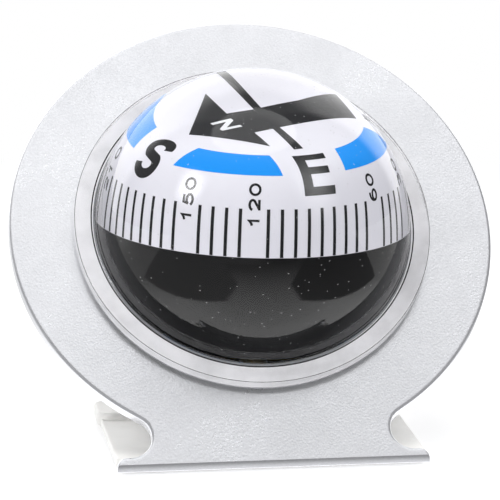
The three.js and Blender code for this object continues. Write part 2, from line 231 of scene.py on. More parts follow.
class Form:
    """A mesh in the making, in millimetres in the frame of its sub-assembly."""

    def __init__(self) -> None:
        """Starts an empty form."""
        self.mesh = bmesh.new()

    def loop(self, points: Sequence[Sequence[float]]) -> Verts:
        """Adds corner points and returns them."""
        return [self.mesh.verts.new(point) for point in points]

    def bridge(self, rows: Sequence[Verts]) -> None:
        """Joins each closed row with the next, of equal length, by faces.

        Args:
            rows: The rows, in order.
        """
        for low, high in zip(rows, rows[1:]):
            for i, vert in enumerate(low):
                j = (i + 1) % len(low)
                self.mesh.faces.new((vert, low[j], high[j], high[i]))

    def turned(self, profile: Sequence[Point], steps: int, closed: bool = False) -> "Form":
        """Adds a solid turned about z.

        Args:
            profile: Points as (distance from the axis, height).
            steps: Number of sides around.
            closed: Whether the profile closes on itself instead of ending on the axis.

        Returns:
            This form.
        """
        turns = [2 * math.pi * i / steps for i in range(steps)]
        rows = []
        for radius, height in profile:
            if radius < TINY:
                rows.append(self.loop([(0, 0, height)]) * steps)
            else:
                rows.append(self.loop([(radius * math.cos(t), radius * math.sin(t), height) for t in turns]))
        pairs = list(zip(rows, rows[1:]))
        if closed:
            pairs.append((rows[-1], rows[0]))
        for low, high in pairs:
            for i in range(steps):
                j = (i + 1) % steps
                face = list(dict.fromkeys((low[i], low[j], high[j], high[i])))
                if len(face) > 2:
                    self.mesh.faces.new(face)
        return self

    def slab(self, outline: Outline, low: float, high: float, rim: float, hole: Outline | None = None,
             support: float = 0.15) -> "Form":
        """Adds a flat outline given a thickness, with rounded rims.

        Args:
            outline: Gives the outline drawn in by an amount, always with as many points.
            low: Height of the lower face.
            high: Height of the upper face.
            rim: Radius of the rounded rims.
            hole: Gives the outline of a hole that grows by an amount.
            support: Width of the flat strip that keeps the faces' shading flat.

        Returns:
            This form.
        """
        turns = [math.radians(90 / RIM_STEPS * i) for i in range(RIM_STEPS + 1)]
        lower = [(rim * (1 - math.sin(t)), low + rim * (1 - math.cos(t))) for t in turns]
        upper = [(rim * (1 - math.cos(t)), high - rim * (1 - math.sin(t))) for t in turns]
        levels = [(rim + support, low), *lower, *upper, (rim + support, high)]
        ends: list[list[Verts]] = []
        for edge in (outline, hole):
            if edge is None:
                continue
            rows = [self.loop([(x, y, z) for x, y in edge(inset)]) for inset, z in levels]
            self.bridge(rows)
            ends.append([rows[0], rows[-1]])
        for side in range(2):
            loops = [pair[side] for pair in ends]
            flat = [vert for loop in loops for vert in loop]
            for corners in tessellate_polygon([[vert.co for vert in loop] for loop in loops]):
                self.mesh.faces.new([flat[i] for i in corners])
        return self

    def cut(self, place: Vector, outward: Vector) -> list[bmesh.types.BMEdge]:
        """Cuts away what lies beyond a plane and closes the cut.

        Args:
            place: A point in the plane.
            outward: The side that is removed.

        Returns:
            The edges around the cut.
        """
        parts = [*self.mesh.verts, *self.mesh.edges, *self.mesh.faces]
        result = bmesh.ops.bisect_plane(
            self.mesh, geom=parts, plane_co=place, plane_no=outward, clear_outer=True, dist=CUT_REACH)
        edges = [part for part in result["geom_cut"] if isinstance(part, bmesh.types.BMEdge)]
        bmesh.ops.holes_fill(self.mesh, edges=edges, sides=0)
        return edges

    def soften(self, edges: list[bmesh.types.BMEdge], longer_than: float, width: float,
               segments: int) -> None:
        """Rounds the long ones of some edges.

        Args:
            edges: The edges.
            longer_than: Shorter edges stay sharp.
            width: How far the rounding reaches.
            segments: Faces across it.
        """
        chosen = [edge for edge in edges if edge.is_valid and edge.calc_length() > longer_than]
        bmesh.ops.bevel(self.mesh, geom=chosen, offset=width, offset_type="OFFSET", segments=segments,
                        profile=0.5, affect="EDGES", clamp_overlap=True)

    def object(self, name: str, place: Matrix, material: bpy.types.Material, smooth_deg: float = 35,
               outward: bool = True) -> bpy.types.Object:
        """Closes the form and makes it a scene object with its place in its mesh.

        Args:
            name: The object's name.
            place: The frame that the form is drawn in.
            material: Its finish.
            smooth_deg: Edges sharper than this stay sharp.
            outward: Whether the faces are turned outwards, which needs closed shells.

        Returns:
            The object.
        """
        if outward:
            bmesh.ops.recalc_face_normals(self.mesh, faces=self.mesh.faces[:])
        self.mesh.transform(place)
        mesh = bpy.data.meshes.new(name)
        self.mesh.to_mesh(mesh)
        self.mesh.free()
        mesh.shade_smooth()
        mesh.set_sharp_from_angle(angle=math.radians(smooth_deg))
        mesh.materials.append(material)
        thing = bpy.data.objects.new(name, mesh)
        bpy.context.scene.collection.objects.link(thing)
        return thing

    def fitted(self, name: str, place: Matrix, finish: "Finish", smooth_deg: float, body: Body, slot: Slot,
               *nodes: str) -> None:
        """Makes the form a finished piece that rides on its body, as object and fit_piece say."""
        fit_piece(self.object(name, place, finish.material(), smooth_deg), body, slot, *nodes)


def fit_piece(thing: bpy.types.Object, body: Body, slot: Slot, *nodes: str) -> None:
    """Makes a piece ride on its body and stand for its CAD nodes.

    Args:
        thing: The finished piece.
        body: The body that it rides on.
        slot: Not used.
        nodes: The CAD nodes that it replaces.
    """
    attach(thing, body.value)
    if nodes:
        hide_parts(*nodes)
    faces = len(thing.data.polygons)
    LOG.info("piece %s on %s, %d faces, stands for %s", thing.name, body.value, faces, nodes or "nothing")


class Wiring:
    """A node tree with short ways to add and join nodes."""

    def __init__(self, tree: bpy.types.NodeTree) -> None:
        """Keeps the tree that the nodes go into."""
        self.tree = tree

    def feed(self, socket: Socket, value: object) -> None:
        """Joins a socket to another, or sets it where the value isn't one."""
        if isinstance(value, Socket):
            self.tree.links.new(value, socket)
        elif value is not None:
            socket.default_value = value

    def node(self, kind: str, inputs: dict[str | int, object] | None = None,
             **settings: object) -> bpy.types.Node:
        """Adds a node.

        Args:
            kind: Its type name.
            inputs: Values or sockets for its inputs, by name or number.
            settings: Its own properties.

        Returns:
            The node.
        """
        node = self.tree.nodes.new(kind)
        for key, value in settings.items():
            setattr(node, key, value)
        for key, value in (inputs or {}).items():
            self.feed(node.inputs[key], value)
        return node

    def math(self, operation: str, *values: object) -> Socket:
        """Adds a Math node and returns its result."""
        return self.node("ShaderNodeMath", dict(enumerate(values)), operation=operation).outputs[0]

    def plus(self, first: object, second: object) -> Socket:
        """Adds two values."""
        return self.math("ADD", first, second)

    def minus(self, first: object, second: object) -> Socket:
        """Takes the second value from the first."""
        return self.math("SUBTRACT", first, second)

    def times(self, first: object, second: object) -> Socket:
        """Multiplies two values."""
        return self.math("MULTIPLY", first, second)

    def most(self, first: object, second: object) -> Socket:
        """The larger of two values."""
        return self.math("MAXIMUM", first, second)

    def scaled(self, value: object, factor: object, offset: object) -> Socket:
        """A value times a factor, plus an offset."""
        return self.math("MULTIPLY_ADD", value, factor, offset)

    def mix(self, share: object, first: object, second: object) -> Socket:
        """Goes from the first value to the second by a share."""
        return self.scaled(share, self.minus(second, first), first)

    def vector(self, operation: str, *values: object) -> bpy.types.Node:
        """Adds a Vector Math node."""
        return self.node("ShaderNodeVectorMath", dict(enumerate(values)), operation=operation)

    def where(self) -> Socket:
        """The shaded point, in the object's own metres."""
        return self.node("ShaderNodeTexCoord").outputs["Object"]

    def parts(self, vector: object) -> Sequence[Socket]:
        """The three parts of a vector."""
        return self.node("ShaderNodeSeparateXYZ", {0: vector}).outputs

    def joined(self, x: object, y: object, z: object) -> Socket:
        """A vector from its three parts."""
        return self.node("ShaderNodeCombineXYZ", {0: x, 1: y, 2: z}).outputs[0]

    def ramp(self, value: object, low: float, high: float, first: object = 0.0, last: object = 1.0) -> Socket:
        """Adds a smooth step.

        Args:
            value: What is stepped.
            low: Where the step starts.
            high: Where it ends.
            first: The result below it.
            last: The result above it.

        Returns:
            The result's socket.
        """
        inputs = {0: value, 1: low, 2: high, 3: first, 4: last}
        return self.node("ShaderNodeMapRange", inputs, interpolation_type="SMOOTHSTEP").outputs[0]

    def blend(self, share: object, first: object, second: object) -> Socket:
        """Mixes two colours and returns the result."""
        return self.node("ShaderNodeMix", {0: share, 6: first, 7: second}, data_type="RGBA").outputs[2]

    def noise(self, where: object, scale: object, detail: float = 2.0, rough: float = 0.5) -> Socket:
        """Adds a Noise Texture and returns its value."""
        inputs = {"Vector": where, "Scale": scale, "Detail": detail, "Roughness": rough}
        return self.node("ShaderNodeTexNoise", inputs).outputs[0]


def wired(owner: bpy.types.Material | bpy.types.World) -> Wiring:
    """Empties the nodes of a material or a world, ready to be wired."""
    owner.use_nodes = True
    owner.node_tree.nodes.clear()
    return Wiring(owner.node_tree)


class Growth:
    """A piece that geometry nodes make, with its sizes as the tree's named inputs."""

    def __init__(self, name: str, values: dict[str, object]) -> None:
        """Starts the tree with an input for each value.

        Args:
            name: The name of the tree and of the piece.
            values: The sizes by name, with the piece's material under Finish.
        """
        self.name, self.values = name, values
        self.tree = bpy.data.node_groups.new(name, "GeometryNodeTree")
        kinds = {float: "NodeSocketFloat", int: "NodeSocketInt"}
        for label, value in values.items():
            kind = kinds.get(type(value), "NodeSocketMaterial")
            self.tree.interface.new_socket(label, in_out="INPUT", socket_type=kind)
        self.tree.interface.new_socket("Piece", in_out="OUTPUT", socket_type="NodeSocketGeometry")
        self.wiring = Wiring(self.tree)
        self.size = self.wiring.node("NodeGroupInput").outputs

    def grown(self, instances: Socket) -> bpy.types.Object:
        """Ends the tree and makes its result plain mesh.

        Args:
            instances: The instances that the tree has placed.

        Returns:
            The object.
        """
        real = self.wiring.node("GeometryNodeRealizeInstances", {0: instances}).outputs[0]
        coated = self.wiring.node("GeometryNodeSetMaterial", {
            "Geometry": real, "Material": self.size["Finish"]})
        self.wiring.feed(self.wiring.node("NodeGroupOutput").inputs[0], coated.outputs[0])
        thing = bpy.data.objects.new(self.name, bpy.data.meshes.new(self.name))
        bpy.context.scene.collection.objects.link(thing)
        modifier = thing.modifiers.new(self.name, "NODES")
        modifier.node_group = self.tree
        for socket in self.tree.interface.items_tree:
            if socket.in_out == "INPUT":
                modifier[socket.identifier] = self.values[socket.name]
        return baked(thing)


class Effect(Enum):
    """Shader effects that several finishes share, each a node group built once."""

    GRAIN = "fine_grain"
    BLOTCH = "soft_blotches"
    DUST = "dust_specks"
    WEAR = "edge_wear"

    def group(self) -> bpy.types.NodeTree:
        """The effect's node group, made on first use."""
        found = bpy.data.node_groups.get(self.value)
        if found:
            return found
        tree = bpy.data.node_groups.new(self.value, "ShaderNodeTree")
        for name, way in (("Scale", "INPUT"), ("Amount", "INPUT"), ("Mask", "OUTPUT")):
            tree.interface.new_socket(name, in_out=way, socket_type="NodeSocketFloat")
        wiring = Wiring(tree)
        scale, amount = wiring.node("NodeGroupInput").outputs[:2]
        makers = {
            Effect.GRAIN: self._grain, Effect.BLOTCH: self._blotch,
            Effect.DUST: self._dust, Effect.WEAR: self._wear,
        }
        mask = makers[self](wiring, wiring.where(), scale, amount)
        wiring.feed(wiring.node("NodeGroupOutput").inputs["Mask"], mask)
        return tree

    def _grain(self, wiring: Wiring, where: Socket, scale: Socket, amount: Socket) -> Socket:
        """Even fine grain of moulded plastic, between 0 and the amount."""
        fine = wiring.noise(where, scale, 4.0, 0.62)
        coarse = wiring.noise(where, wiring.times(scale, 0.23), 2.0)
        return wiring.times(wiring.plus(wiring.times(fine, 0.7), wiring.times(coarse, 0.3)), amount)

    def _blotch(self, wiring: Wiring, where: Socket, scale: Socket, amount: Socket) -> Socket:
        """Wide soft clouds with a lighter vein in them, between 0 and the amount."""
        cloud = wiring.noise(where, scale, 3.0, 0.45)
        vein = wiring.noise(where, wiring.times(scale, 3.1), 5.0, 0.6)
        mixed = wiring.scaled(vein, 0.35, wiring.times(cloud, 0.65))
        return wiring.times(wiring.ramp(mixed, 0.35, 0.68), amount)

    def _dust(self, wiring: Wiring, where: Socket, scale: Socket, amount: Socket) -> Socket:
        """Scattered specks of uneven size; the amount is the share of cells that hold one."""
        cell = wiring.node("ShaderNodeTexVoronoi", {"Vector": where, "Scale": scale})
        odd = wiring.node("ShaderNodeSeparateColor", {0: cell.outputs["Color"]})
        near = wiring.math("LESS_THAN", cell.outputs["Distance"], wiring.scaled(odd.outputs[1], 0.16, 0.05))
        return wiring.times(near, wiring.math("LESS_THAN", odd.outputs[0], amount))

    def _wear(self, wiring: Wiring, where: Socket, scale: Socket, amount: Socket) -> Socket:
        """Rubbed outer edges, broken up by noise, between 0 and the amount."""
        point = wiring.node("ShaderNodeNewGeometry").outputs["Pointiness"]
        broken = wiring.ramp(wiring.noise(where, scale, 3.0, 0.6), 0.35, 0.6)
        return wiring.times(wiring.times(wiring.ramp(point, 0.505, 0.56), broken), amount)


@dataclass(frozen=True)
class Finish:
    """What every finish has: its name, its colour in sRGB 0 to 255, and its gloss."""

    name: str
    colour: Rgb
    roughness: float

    def material(self) -> bpy.types.Material:
        """The finish as a material, made on first use."""
        found = bpy.data.materials.get(self.name)
        if found:
            return found
        made = bpy.data.materials.new(self.name)
        wiring = wired(made)
        wiring.feed(wiring.node("ShaderNodeOutputMaterial").inputs["Surface"], self.shader(wiring))
        made.diffuse_color = linear(self.colour)
        return made

    def shader(self, wiring: Wiring) -> Socket:
        """The finish's own shader, for each kind of finish to give."""
        raise NotImplementedError(self.name)

    def effect(self, wiring: Wiring, effect: Effect, scale: float, amount: float = 1.0) -> Socket:
        """Places a shared effect with this finish's own values.

        Args:
            wiring: The material's nodes.
            effect: Which effect.
            scale: Its scale, per metre.
            amount: Its amount.

        Returns:
            The effect's mask.
        """
        node = wiring.node("ShaderNodeGroup", None, node_tree=effect.group())
        node.inputs["Scale"].default_value = scale
        node.inputs["Amount"].default_value = amount
        return node.outputs["Mask"]

    def principled(self, wiring: Wiring, colour: object, gloss: object, bump: tuple[Socket, float],
                   more: dict[str, object]) -> Socket:
        """Adds a Principled shader.

        Args:
            wiring: The material's nodes.
            colour: Its base colour.
            gloss: Its roughness.
            bump: The bump's height and its depth in millimetres.
            more: Its other inputs.

        Returns:
            The shader.
        """
        height, depth = bump
        bumped = wiring.node("ShaderNodeBump", {"Height": height, "Strength": 1.0, "Distance": depth * MM})
        inputs = {"Base Color": colour, "Roughness": gloss, "Normal": bumped.outputs[0], **more}
        return wiring.node("ShaderNodeBsdfPrincipled", inputs).outputs[0]


@dataclass(frozen=True)
class PlasticFinish(Finish):
    """Moulded plastic: grain, faint clouding, dust, and lighter rubbed edges."""

    grain: float = 9000
    grain_depth: float = 0.006
    clouding: float = 0.06
    cloud_scale: float = 160
    dust: float = 0.0
    dust_scale: float = 700
    dust_colour: Rgb = (235, 235, 235)
    wear: float = 0.3
    wear_scale: float = 900
    gloss_swing: float = 0.08
    specular: float = 0.5

    def shader(self, wiring: Wiring) -> Socket:
        """Principled plastic with its grain in colour, gloss and bump."""
        base = linear(self.colour)
        cloud = self.effect(wiring, Effect.BLOTCH, self.cloud_scale)
        worn = self.effect(wiring, Effect.WEAR, self.wear_scale, self.wear)
        tone = wiring.blend(cloud, base, toned(base, 1 - self.clouding * 2))
        tone = wiring.blend(worn, tone, toned(base, 1.35, 0.03))
        if self.dust > 0:
            dusty = self.effect(wiring, Effect.DUST, self.dust_scale, self.dust)
            tone = wiring.blend(dusty, tone, linear(self.dust_colour))
        grain = self.effect(wiring, Effect.GRAIN, self.grain)
        gloss = wiring.scaled(cloud, self.gloss_swing, self.roughness - self.gloss_swing / 2)
        gloss = wiring.scaled(grain, self.gloss_swing, gloss)
        return self.principled(wiring, tone, gloss, (grain, self.grain_depth),
                               {"Specular IOR Level": self.specular})


@dataclass(frozen=True)
class PaintFinish(Finish):
    """Satin silver paint: bright flakes under a thin clear coat, over faint orange peel."""

    metallic: float = 0.88
    flake: float = 8000
    flake_tilt: float = 0.05
    flake_gloss: float = 0.1
    sparkle: float = 0.04
    cloud_scale: float = 90
    cloud_cover: float = 0.35
    cloud_gloss: float = 0.05
    wear_scale: float = 700
    wear: float = 0.2
    peel_scale: float = 3600
    peel_depth: float = 0.016
    coat: float = 0.25
    coat_roughness: float = 0.22
    # bend and the fields after it paint shade into the band where the foot bends: there the paint turns
    # towards black.
    bend: float = 0.0
    bend_rise: Pair = (0.0009, 0.0016)
    bend_end: Pair = (0.0019, 0.0025)
    bend_above: float = 0.4

    def shader(self, wiring: Wiring) -> Socket:
        """Principled paint whose flakes tilt and differ in tone, with painted shade where the foot bends."""
        base = linear(self.colour)
        dark, lit = toned(base, 1 - self.sparkle * 1.6), toned(base, 1 + self.sparkle)
        where = wiring.where()
        flakes = wiring.node("ShaderNodeTexVoronoi", {"Vector": where, "Scale": self.flake})
        tint = wiring.node("ShaderNodeSeparateColor", {0: flakes.outputs["Color"]}).outputs
        cloud = self.effect(wiring, Effect.BLOTCH, self.cloud_scale)
        tone = wiring.blend(tint[0], dark, lit)
        tone = wiring.blend(wiring.times(cloud, self.cloud_cover), tone, base)
        tone = wiring.blend(self.effect(wiring, Effect.WEAR, self.wear_scale, self.wear), tone, lit)
        # Painted shade: darker towards black between the heights where the foot bends.
        if self.bend:
            high = wiring.parts(where)[2]
            turned = wiring.ramp(high, *self.bend_rise, 0.0, self.bend)
            turned = wiring.times(turned, wiring.ramp(high, *self.bend_end, 1.0, self.bend_above))
            tone = wiring.blend(turned, tone, toned(base, 0.0))
        gloss = wiring.scaled(tint[1], self.flake_gloss, self.roughness - self.flake_gloss / 2)
        gloss = wiring.scaled(cloud, self.cloud_gloss, gloss)
        peel = wiring.noise(where, self.peel_scale, 1.0, 0.4)
        height = wiring.scaled(tint[2], self.flake_tilt, peel)
        return self.principled(wiring, tone, gloss, (height, self.peel_depth), {
            "Metallic": self.metallic, "Coat Weight": self.coat, "Coat Roughness": self.coat_roughness})


@dataclass(frozen=True)
class MetalFinish(Finish):
    """Turned or drawn metal: fine tool lines and faint tarnish."""

    lines: float = 6000
    line_stretch: tuple[float, float, float] = (0.08, 0.08, 1.0)
    line_depth: float = 0.006
    line_gloss: float = 0.12
    tarnish: Rgb = (120, 96, 60)
    tarnish_share: float = 0.35
    tarnish_scale: float = 700
    tarnish_gloss: float = 0.3

    def shader(self, wiring: Wiring) -> Socket:
        """Principled metal with rings of tool marks along its length."""
        stretched = wiring.vector("MULTIPLY", wiring.where(), self.line_stretch).outputs[0]
        lines = wiring.noise(stretched, self.lines, 3.0, 0.6)
        cloud = self.effect(wiring, Effect.BLOTCH, self.tarnish_scale, self.tarnish_share)
        tone = wiring.blend(cloud, linear(self.colour), linear(self.tarnish))
        gloss = wiring.scaled(lines, self.line_gloss, self.roughness)
        gloss = wiring.scaled(cloud, self.tarnish_gloss, gloss)
        return self.principled(wiring, tone, gloss, (lines, self.line_depth), {"Metallic": 1.0})


@dataclass(frozen=True)
class InkFinish(Finish):
    """Printed ink on the dial: slightly uneven cover over the plastic."""

    thin: Rgb = (60, 60, 64)
    thin_where: Pair = (0.48, 0.72)
    thin_cover: float = 0.5
    grain: float = 16000
    grain_depth: float = 0.003
    grain_gloss: float = 0.15
    specular: float = 0.12

    def shader(self, wiring: Wiring) -> Socket:
        """Principled ink whose cover thins in tiny patches."""
        grain = self.effect(wiring, Effect.GRAIN, self.grain)
        cover = wiring.times(wiring.ramp(grain, *self.thin_where), self.thin_cover)
        tone = wiring.blend(cover, linear(self.colour), linear(self.thin))
        gloss = wiring.scaled(grain, self.grain_gloss, self.roughness)
        return self.principled(wiring, tone, gloss, (grain, self.grain_depth),
                               {"Specular IOR Level": self.specular})


@dataclass(frozen=True)
class FoamFinish(Finish):
    """Cut closed-cell foam tape: round cells with darker hollows."""

    cell: float = 4200
    cell_reach: float = 0.55
    cell_depth: float = 0.05
    hollow_share: float = 0.72
    gloss_swing: float = 0.1
    specular: float = 0.2

    def shader(self, wiring: Wiring) -> Socket:
        """Principled foam with its cells in colour and bump."""
        cells = wiring.node("ShaderNodeTexVoronoi", {"Vector": wiring.where(), "Scale": self.cell})
        hollow = wiring.ramp(cells.outputs["Distance"], 0.0, self.cell_reach)
        base = linear(self.colour)
        tone = wiring.blend(hollow, toned(base, self.hollow_share), base)
        gloss = wiring.scaled(hollow, self.gloss_swing, self.roughness - self.gloss_swing)
        return self.principled(wiring, tone, gloss, (hollow, self.cell_depth),
                               {"Specular IOR Level": self.specular})


@dataclass(frozen=True)
class ClearFinish(Finish):
    """Clear acrylic and the liquid behind it, which bend light alike."""

    ior: float = 1.49
    ripple: float = 240
    ripple_depth: float = 0.0006

    def shader(self, wiring: Wiring) -> Socket:
        """Glass for what the camera sees; light for the dial passes straight through."""
        colour = linear(self.colour)
        ripple = self.effect(wiring, Effect.BLOTCH, self.ripple)
        clear = self.principled(wiring, colour, self.roughness, (ripple, self.ripple_depth),
                                {"IOR": self.ior, "Transmission Weight": 1.0})
        path = wiring.node("ShaderNodeLightPath").outputs
        straight = wiring.most(path["Is Shadow Ray"], path["Is Diffuse Ray"])
        through = wiring.node("ShaderNodeBsdfTransparent", {"Color": colour}).outputs[0]
        return wiring.node("ShaderNodeMixShader", {0: straight, 1: clear, 2: through}).outputs[0]


@dataclass(frozen=True)
class GemFinish(Finish):
    """Polished synthetic ruby with a little haze."""

    haze: float = 2400
    haze_share: float = 0.45
    haze_gloss: float = 0.06
    haze_depth: float = 0.002
    coat: float = 0.6
    coat_roughness: float = 0.03

    def shader(self, wiring: Wiring) -> Socket:
        """Principled stone, cloudy inside, glossy outside."""
        cloud = self.effect(wiring, Effect.BLOTCH, self.haze)
        base = linear(self.colour)
        tone = wiring.blend(cloud, base, toned(base, self.haze_share))
        gloss = wiring.scaled(cloud, self.haze_gloss, self.roughness)
        return self.principled(wiring, tone, gloss, (cloud, self.haze_depth),
                               {"Coat Weight": self.coat, "Coat Roughness": self.coat_roughness})


@dataclass(frozen=True)
class Finishes:
    """Every finish of the compass."""

    silver: Finish = PaintFinish("silver_paint_flakes", (226, 227, 231), 0.31)
    # A darker, less metallic, rougher copy of the silver paint for the lip that faces forward: its darker
    # colour is painted shade, and its bend adds more painted shade.
    edge: Finish = PaintFinish("silver_paint_shaded_lip", (205, 206, 210), 0.6, metallic=0.5, bend=0.55)
    cream: Finish = PlasticFinish("cream_moulded", (248, 247, 244), 0.42, clouding=0.03, wear=0.1)
    foam: Finish = FoamFinish("foam_tape_cells", (240, 238, 230), 0.9)
    clear: Finish = ClearFinish("clear_ball", (253, 254, 254), 0.0)
    black: Finish = PlasticFinish(
        "black_moulded", (20, 21, 23), 0.3, dust=0.03, dust_colour=(112, 112, 110), wear=0.2)
    seal: Finish = PlasticFinish(
        "seal_silicone_grey", (140, 141, 144), 0.6, grain=5000, grain_depth=0.02, wear=0.1)
    # Pale film under the flange: painted light standing in for the lit plate seen through the flange.
    film: Finish = PlasticFinish(
        "pale_painted_light_film", (242, 240, 244), 0.6, grain=3000, grain_depth=0.02, clouding=0.1, wear=0.0)
    # Near-black finish of the dark hairlines: painted shade for the dark refraction lines at the glass edges.
    dirt: Finish = PlasticFinish(
        "painted_dark_line_tone", (44, 43, 44), 0.9, grain=4000, grain_depth=0.02, wear=0.0, specular=0.1)
    lint: Finish = PlasticFinish(
        "pale_lint", (205, 205, 206), 0.8, grain=9000, grain_depth=0.02, wear=0.0, specular=0.1)
    cap: Finish = PlasticFinish(
        "dial_white_satin", (236, 234, 243), 0.45, grain=14000, clouding=0.01, wear=0.0, specular=0.1)
    float_: Finish = PlasticFinish(
        "float_black_gloss", (13, 13, 15), 0.3, grain=7000, wear=0.0, specular=0.08)
    ink: Finish = InkFinish("dial_ink_black", (22, 22, 25), 0.5)
    blue: Finish = InkFinish("dial_ink_blue", (5, 148, 247), 0.45, thin=(30, 164, 250))
    paper: Finish = InkFinish("dial_ink_white", (240, 240, 244), 0.5, thin=(205, 205, 212))
    grey: Finish = PlasticFinish("grey_moulded", (120, 122, 123), 0.5, wear=0.2)
    pale: Finish = PlasticFinish("pale_grey_moulded", (196, 196, 192), 0.5, wear=0.2)
    brass: Finish = MetalFinish("turned_brass", (212, 176, 105), 0.24)
    steel: Finish = MetalFinish("drawn_steel", (200, 202, 205), 0.16, tarnish=(130, 132, 136))
    jewel: Finish = GemFinish("ruby_cup", (176, 28, 58), 0.06)
    magnet: Finish = MetalFinish(
        "magnet_alloy", (98, 102, 106), 0.4, tarnish=(62, 62, 64), tarnish_share=0.7)


@dataclass(frozen=True)
class Stand:
    """Leaning silver plate with its foot, the cream base behind it and the foam tape below."""

    stance: Stance
    finishes: Finishes
    plate_radius: float = 32.97
    plate_thickness: float = 2.0
    plate_rim: float = 0.4
    hole_radius: float = 22.0
    waist_radius: float = 33.0
    notch_radius: float = 3.0
    foot_half: float = 20.7
    foot_corner: float = 1.3
    foot_ledge: float = 0.5
    foot_lip: float = 1.1
    lip_round: float = 0.26
    lip_facing: float = -0.8
    overrun: float = 2.0
    base_half: float = 20.6
    base_depth: float = 32.5
    base_thickness: float = 1.2
    base_rim: float = 0.2
    base_round: float = 0.12
    heel_depth: float = 8.0
    heel_height: float = 2.1
    heel_overhang: float = 0.45
    heel_corner: float = 2.0
    heel_rim: float = 0.4
    bond_gap: float = 0.1
    pad_half: float = 18.4
    pad_front: float = 5.734
    pad_inset: float = 2.2
    pad_corner: float = 2.0
    pad_section: tuple[Point, ...] = (
        (1.2, 0.0), (0.12, 0.0), (0.02, 0.06), (0.1, 0.18), (0.15, 0.25), (0.1, 0.32), (0.02, 0.44),
        (0.12, 0.5), (1.2, 0.5),
    )

    def plate_outline(self, inset: float) -> list[Point]:
        """Outline of the plate drawn in by an amount: disc, two notches and foot.

        Args:
            inset: How far the outline is drawn in.

        Returns:
            The outline, from the foot's lower right corner anticlockwise.
        """
        rise = self.stance.disc_rise
        notch_x = self.foot_half - self.foot_corner - self.foot_ledge
        reach = self.waist_radius + self.notch_radius
        notch_y = rise - math.sqrt(reach ** 2 - notch_x ** 2)
        top = notch_y - self.notch_radius
        turn = math.degrees(math.atan2(rise - notch_y, -notch_x))
        corner = self.foot_corner
        right = [
            (self.foot_half - inset, -self.overrun),
            *arc(self.foot_half - corner, top - corner, corner - inset, 0, 90, 10),
            *arc(notch_x, notch_y, self.notch_radius + inset, 270, turn, 30),
        ]
        disc = arc(0, rise, self.plate_radius - inset, turn - 180, 360 - turn, 220)
        left = [(-x, y) for x, y in reversed(right)]
        return [*right, *disc[1:-1], *left]

    def build_plate(self) -> None:
        """Builds the face plate, its foot cut level below and upright in front."""
        def hole(inset: float) -> list[Point]:
            """The ball's hole, grown by an amount."""
            return arc(0, self.stance.disc_rise, self.hole_radius + inset, 0, 360, ROUND_STEPS)[1:]

        form = Form().slab(self.plate_outline, -self.plate_thickness, 0, self.plate_rim, hole)
        lean = math.radians(self.stance.lean_deg)
        down = Vector((0, -math.cos(lean), -math.sin(lean)))
        ahead = Vector((0, -math.sin(lean), math.cos(lean)))
        lip = self.foot_lip * math.tan(lean)
        form.cut(Vector((0, 0, 0)), down)
        form.soften(form.cut(ahead * -lip, ahead), self.foot_half, self.lip_round, 3)
        plate = form.object("face_plate", self.stance.plate(), self.finishes.silver.material(), 32)
        # The faces that face forward take the darker copy of the paint: painted shade on the lip.
        plate.data.materials.append(self.finishes.edge.material())
        for face in plate.data.polygons:
            face.material_index = int(face.normal.y < self.lip_facing)
        fit_piece(plate, Body.HOUSING, Slot.SILVER, "front_plate")

    def rounded_box(self, half: float, front: float, back: float, corner: float) -> Outline:
        """Gives the outline of a rounded rectangle, drawn in by an amount.

        Args:
            half: Half its width.
            front: Its front side.
            back: Its back side.
            corner: Radius of its corners.

        Returns:
            A function of the inset.
        """
        def outline(inset: float) -> list[Point]:
            """The outline drawn in."""
            side, low, high = half - corner, front + corner, back - corner
            middles = ((side, high), (-side, high), (-side, low), (side, low))
            return [point for i, (x, y) in enumerate(middles)
                    for point in arc(x, y, corner - inset, 90 * i, 90 * i + 90, 12)]
        return outline

    def build_base(self) -> None:
        """Builds the flat base with its thicker heel, sloped in front to meet the plate."""
        corner, back = self.heel_corner, self.base_depth
        flat = self.rounded_box(self.base_half, -self.overrun, back - corner, corner)
        heel = self.rounded_box(self.base_half + self.heel_overhang, back - self.heel_depth, back, corner)
        place = self.stance.stand()
        material = self.finishes.cream.material()
        thing = Form().slab(flat, 0, self.base_thickness, self.base_rim).object("base", place, material)
        other = Form().slab(heel, 0, self.heel_height, self.heel_rim).object("heel", place, material)
        combined(thing, other, "UNION")
        form = Form()
        form.mesh.from_mesh(thing.data)
        form.mesh.transform(place.inverted())
        bpy.data.objects.remove(thing)
        lean = math.radians(self.stance.lean_deg)
        out = Vector((0, -math.cos(lean), math.sin(lean)))
        around = form.cut(out * (-self.plate_thickness - self.bond_gap), out)
        form.soften(around, self.base_half, self.base_round, 2)
        form.fitted("base_with_heel", place, self.finishes.cream, 32, Body.HOUSING, Slot.CREAM, "base_plate")

    def build_tape(self) -> None:
        """Builds the foam tape, its cut sides drawn in a little under the base's weight."""
        back = self.base_depth - self.pad_inset
        outline = self.rounded_box(self.pad_half, self.pad_front, back, self.pad_corner)
        low = -self.stance.corner_z
        form = Form()
        rows = [form.loop([(x, y, low + height) for x, y in outline(inset)])
                for inset, height in self.pad_section]
        form.bridge(rows)
        for row in (rows[0], rows[-1]):
            form.mesh.faces.new(row)
        tape = form.object("foam_tape_pad", self.stance.stand(), self.finishes.foam.material(), 60)
        fit_piece(tape, Body.HOUSING, Slot.FOAM, "adhesive_pad")

    def build(self) -> None:
        """Builds the plate, the base and the tape."""
        self.build_plate()
        self.build_base()
        self.build_tape()


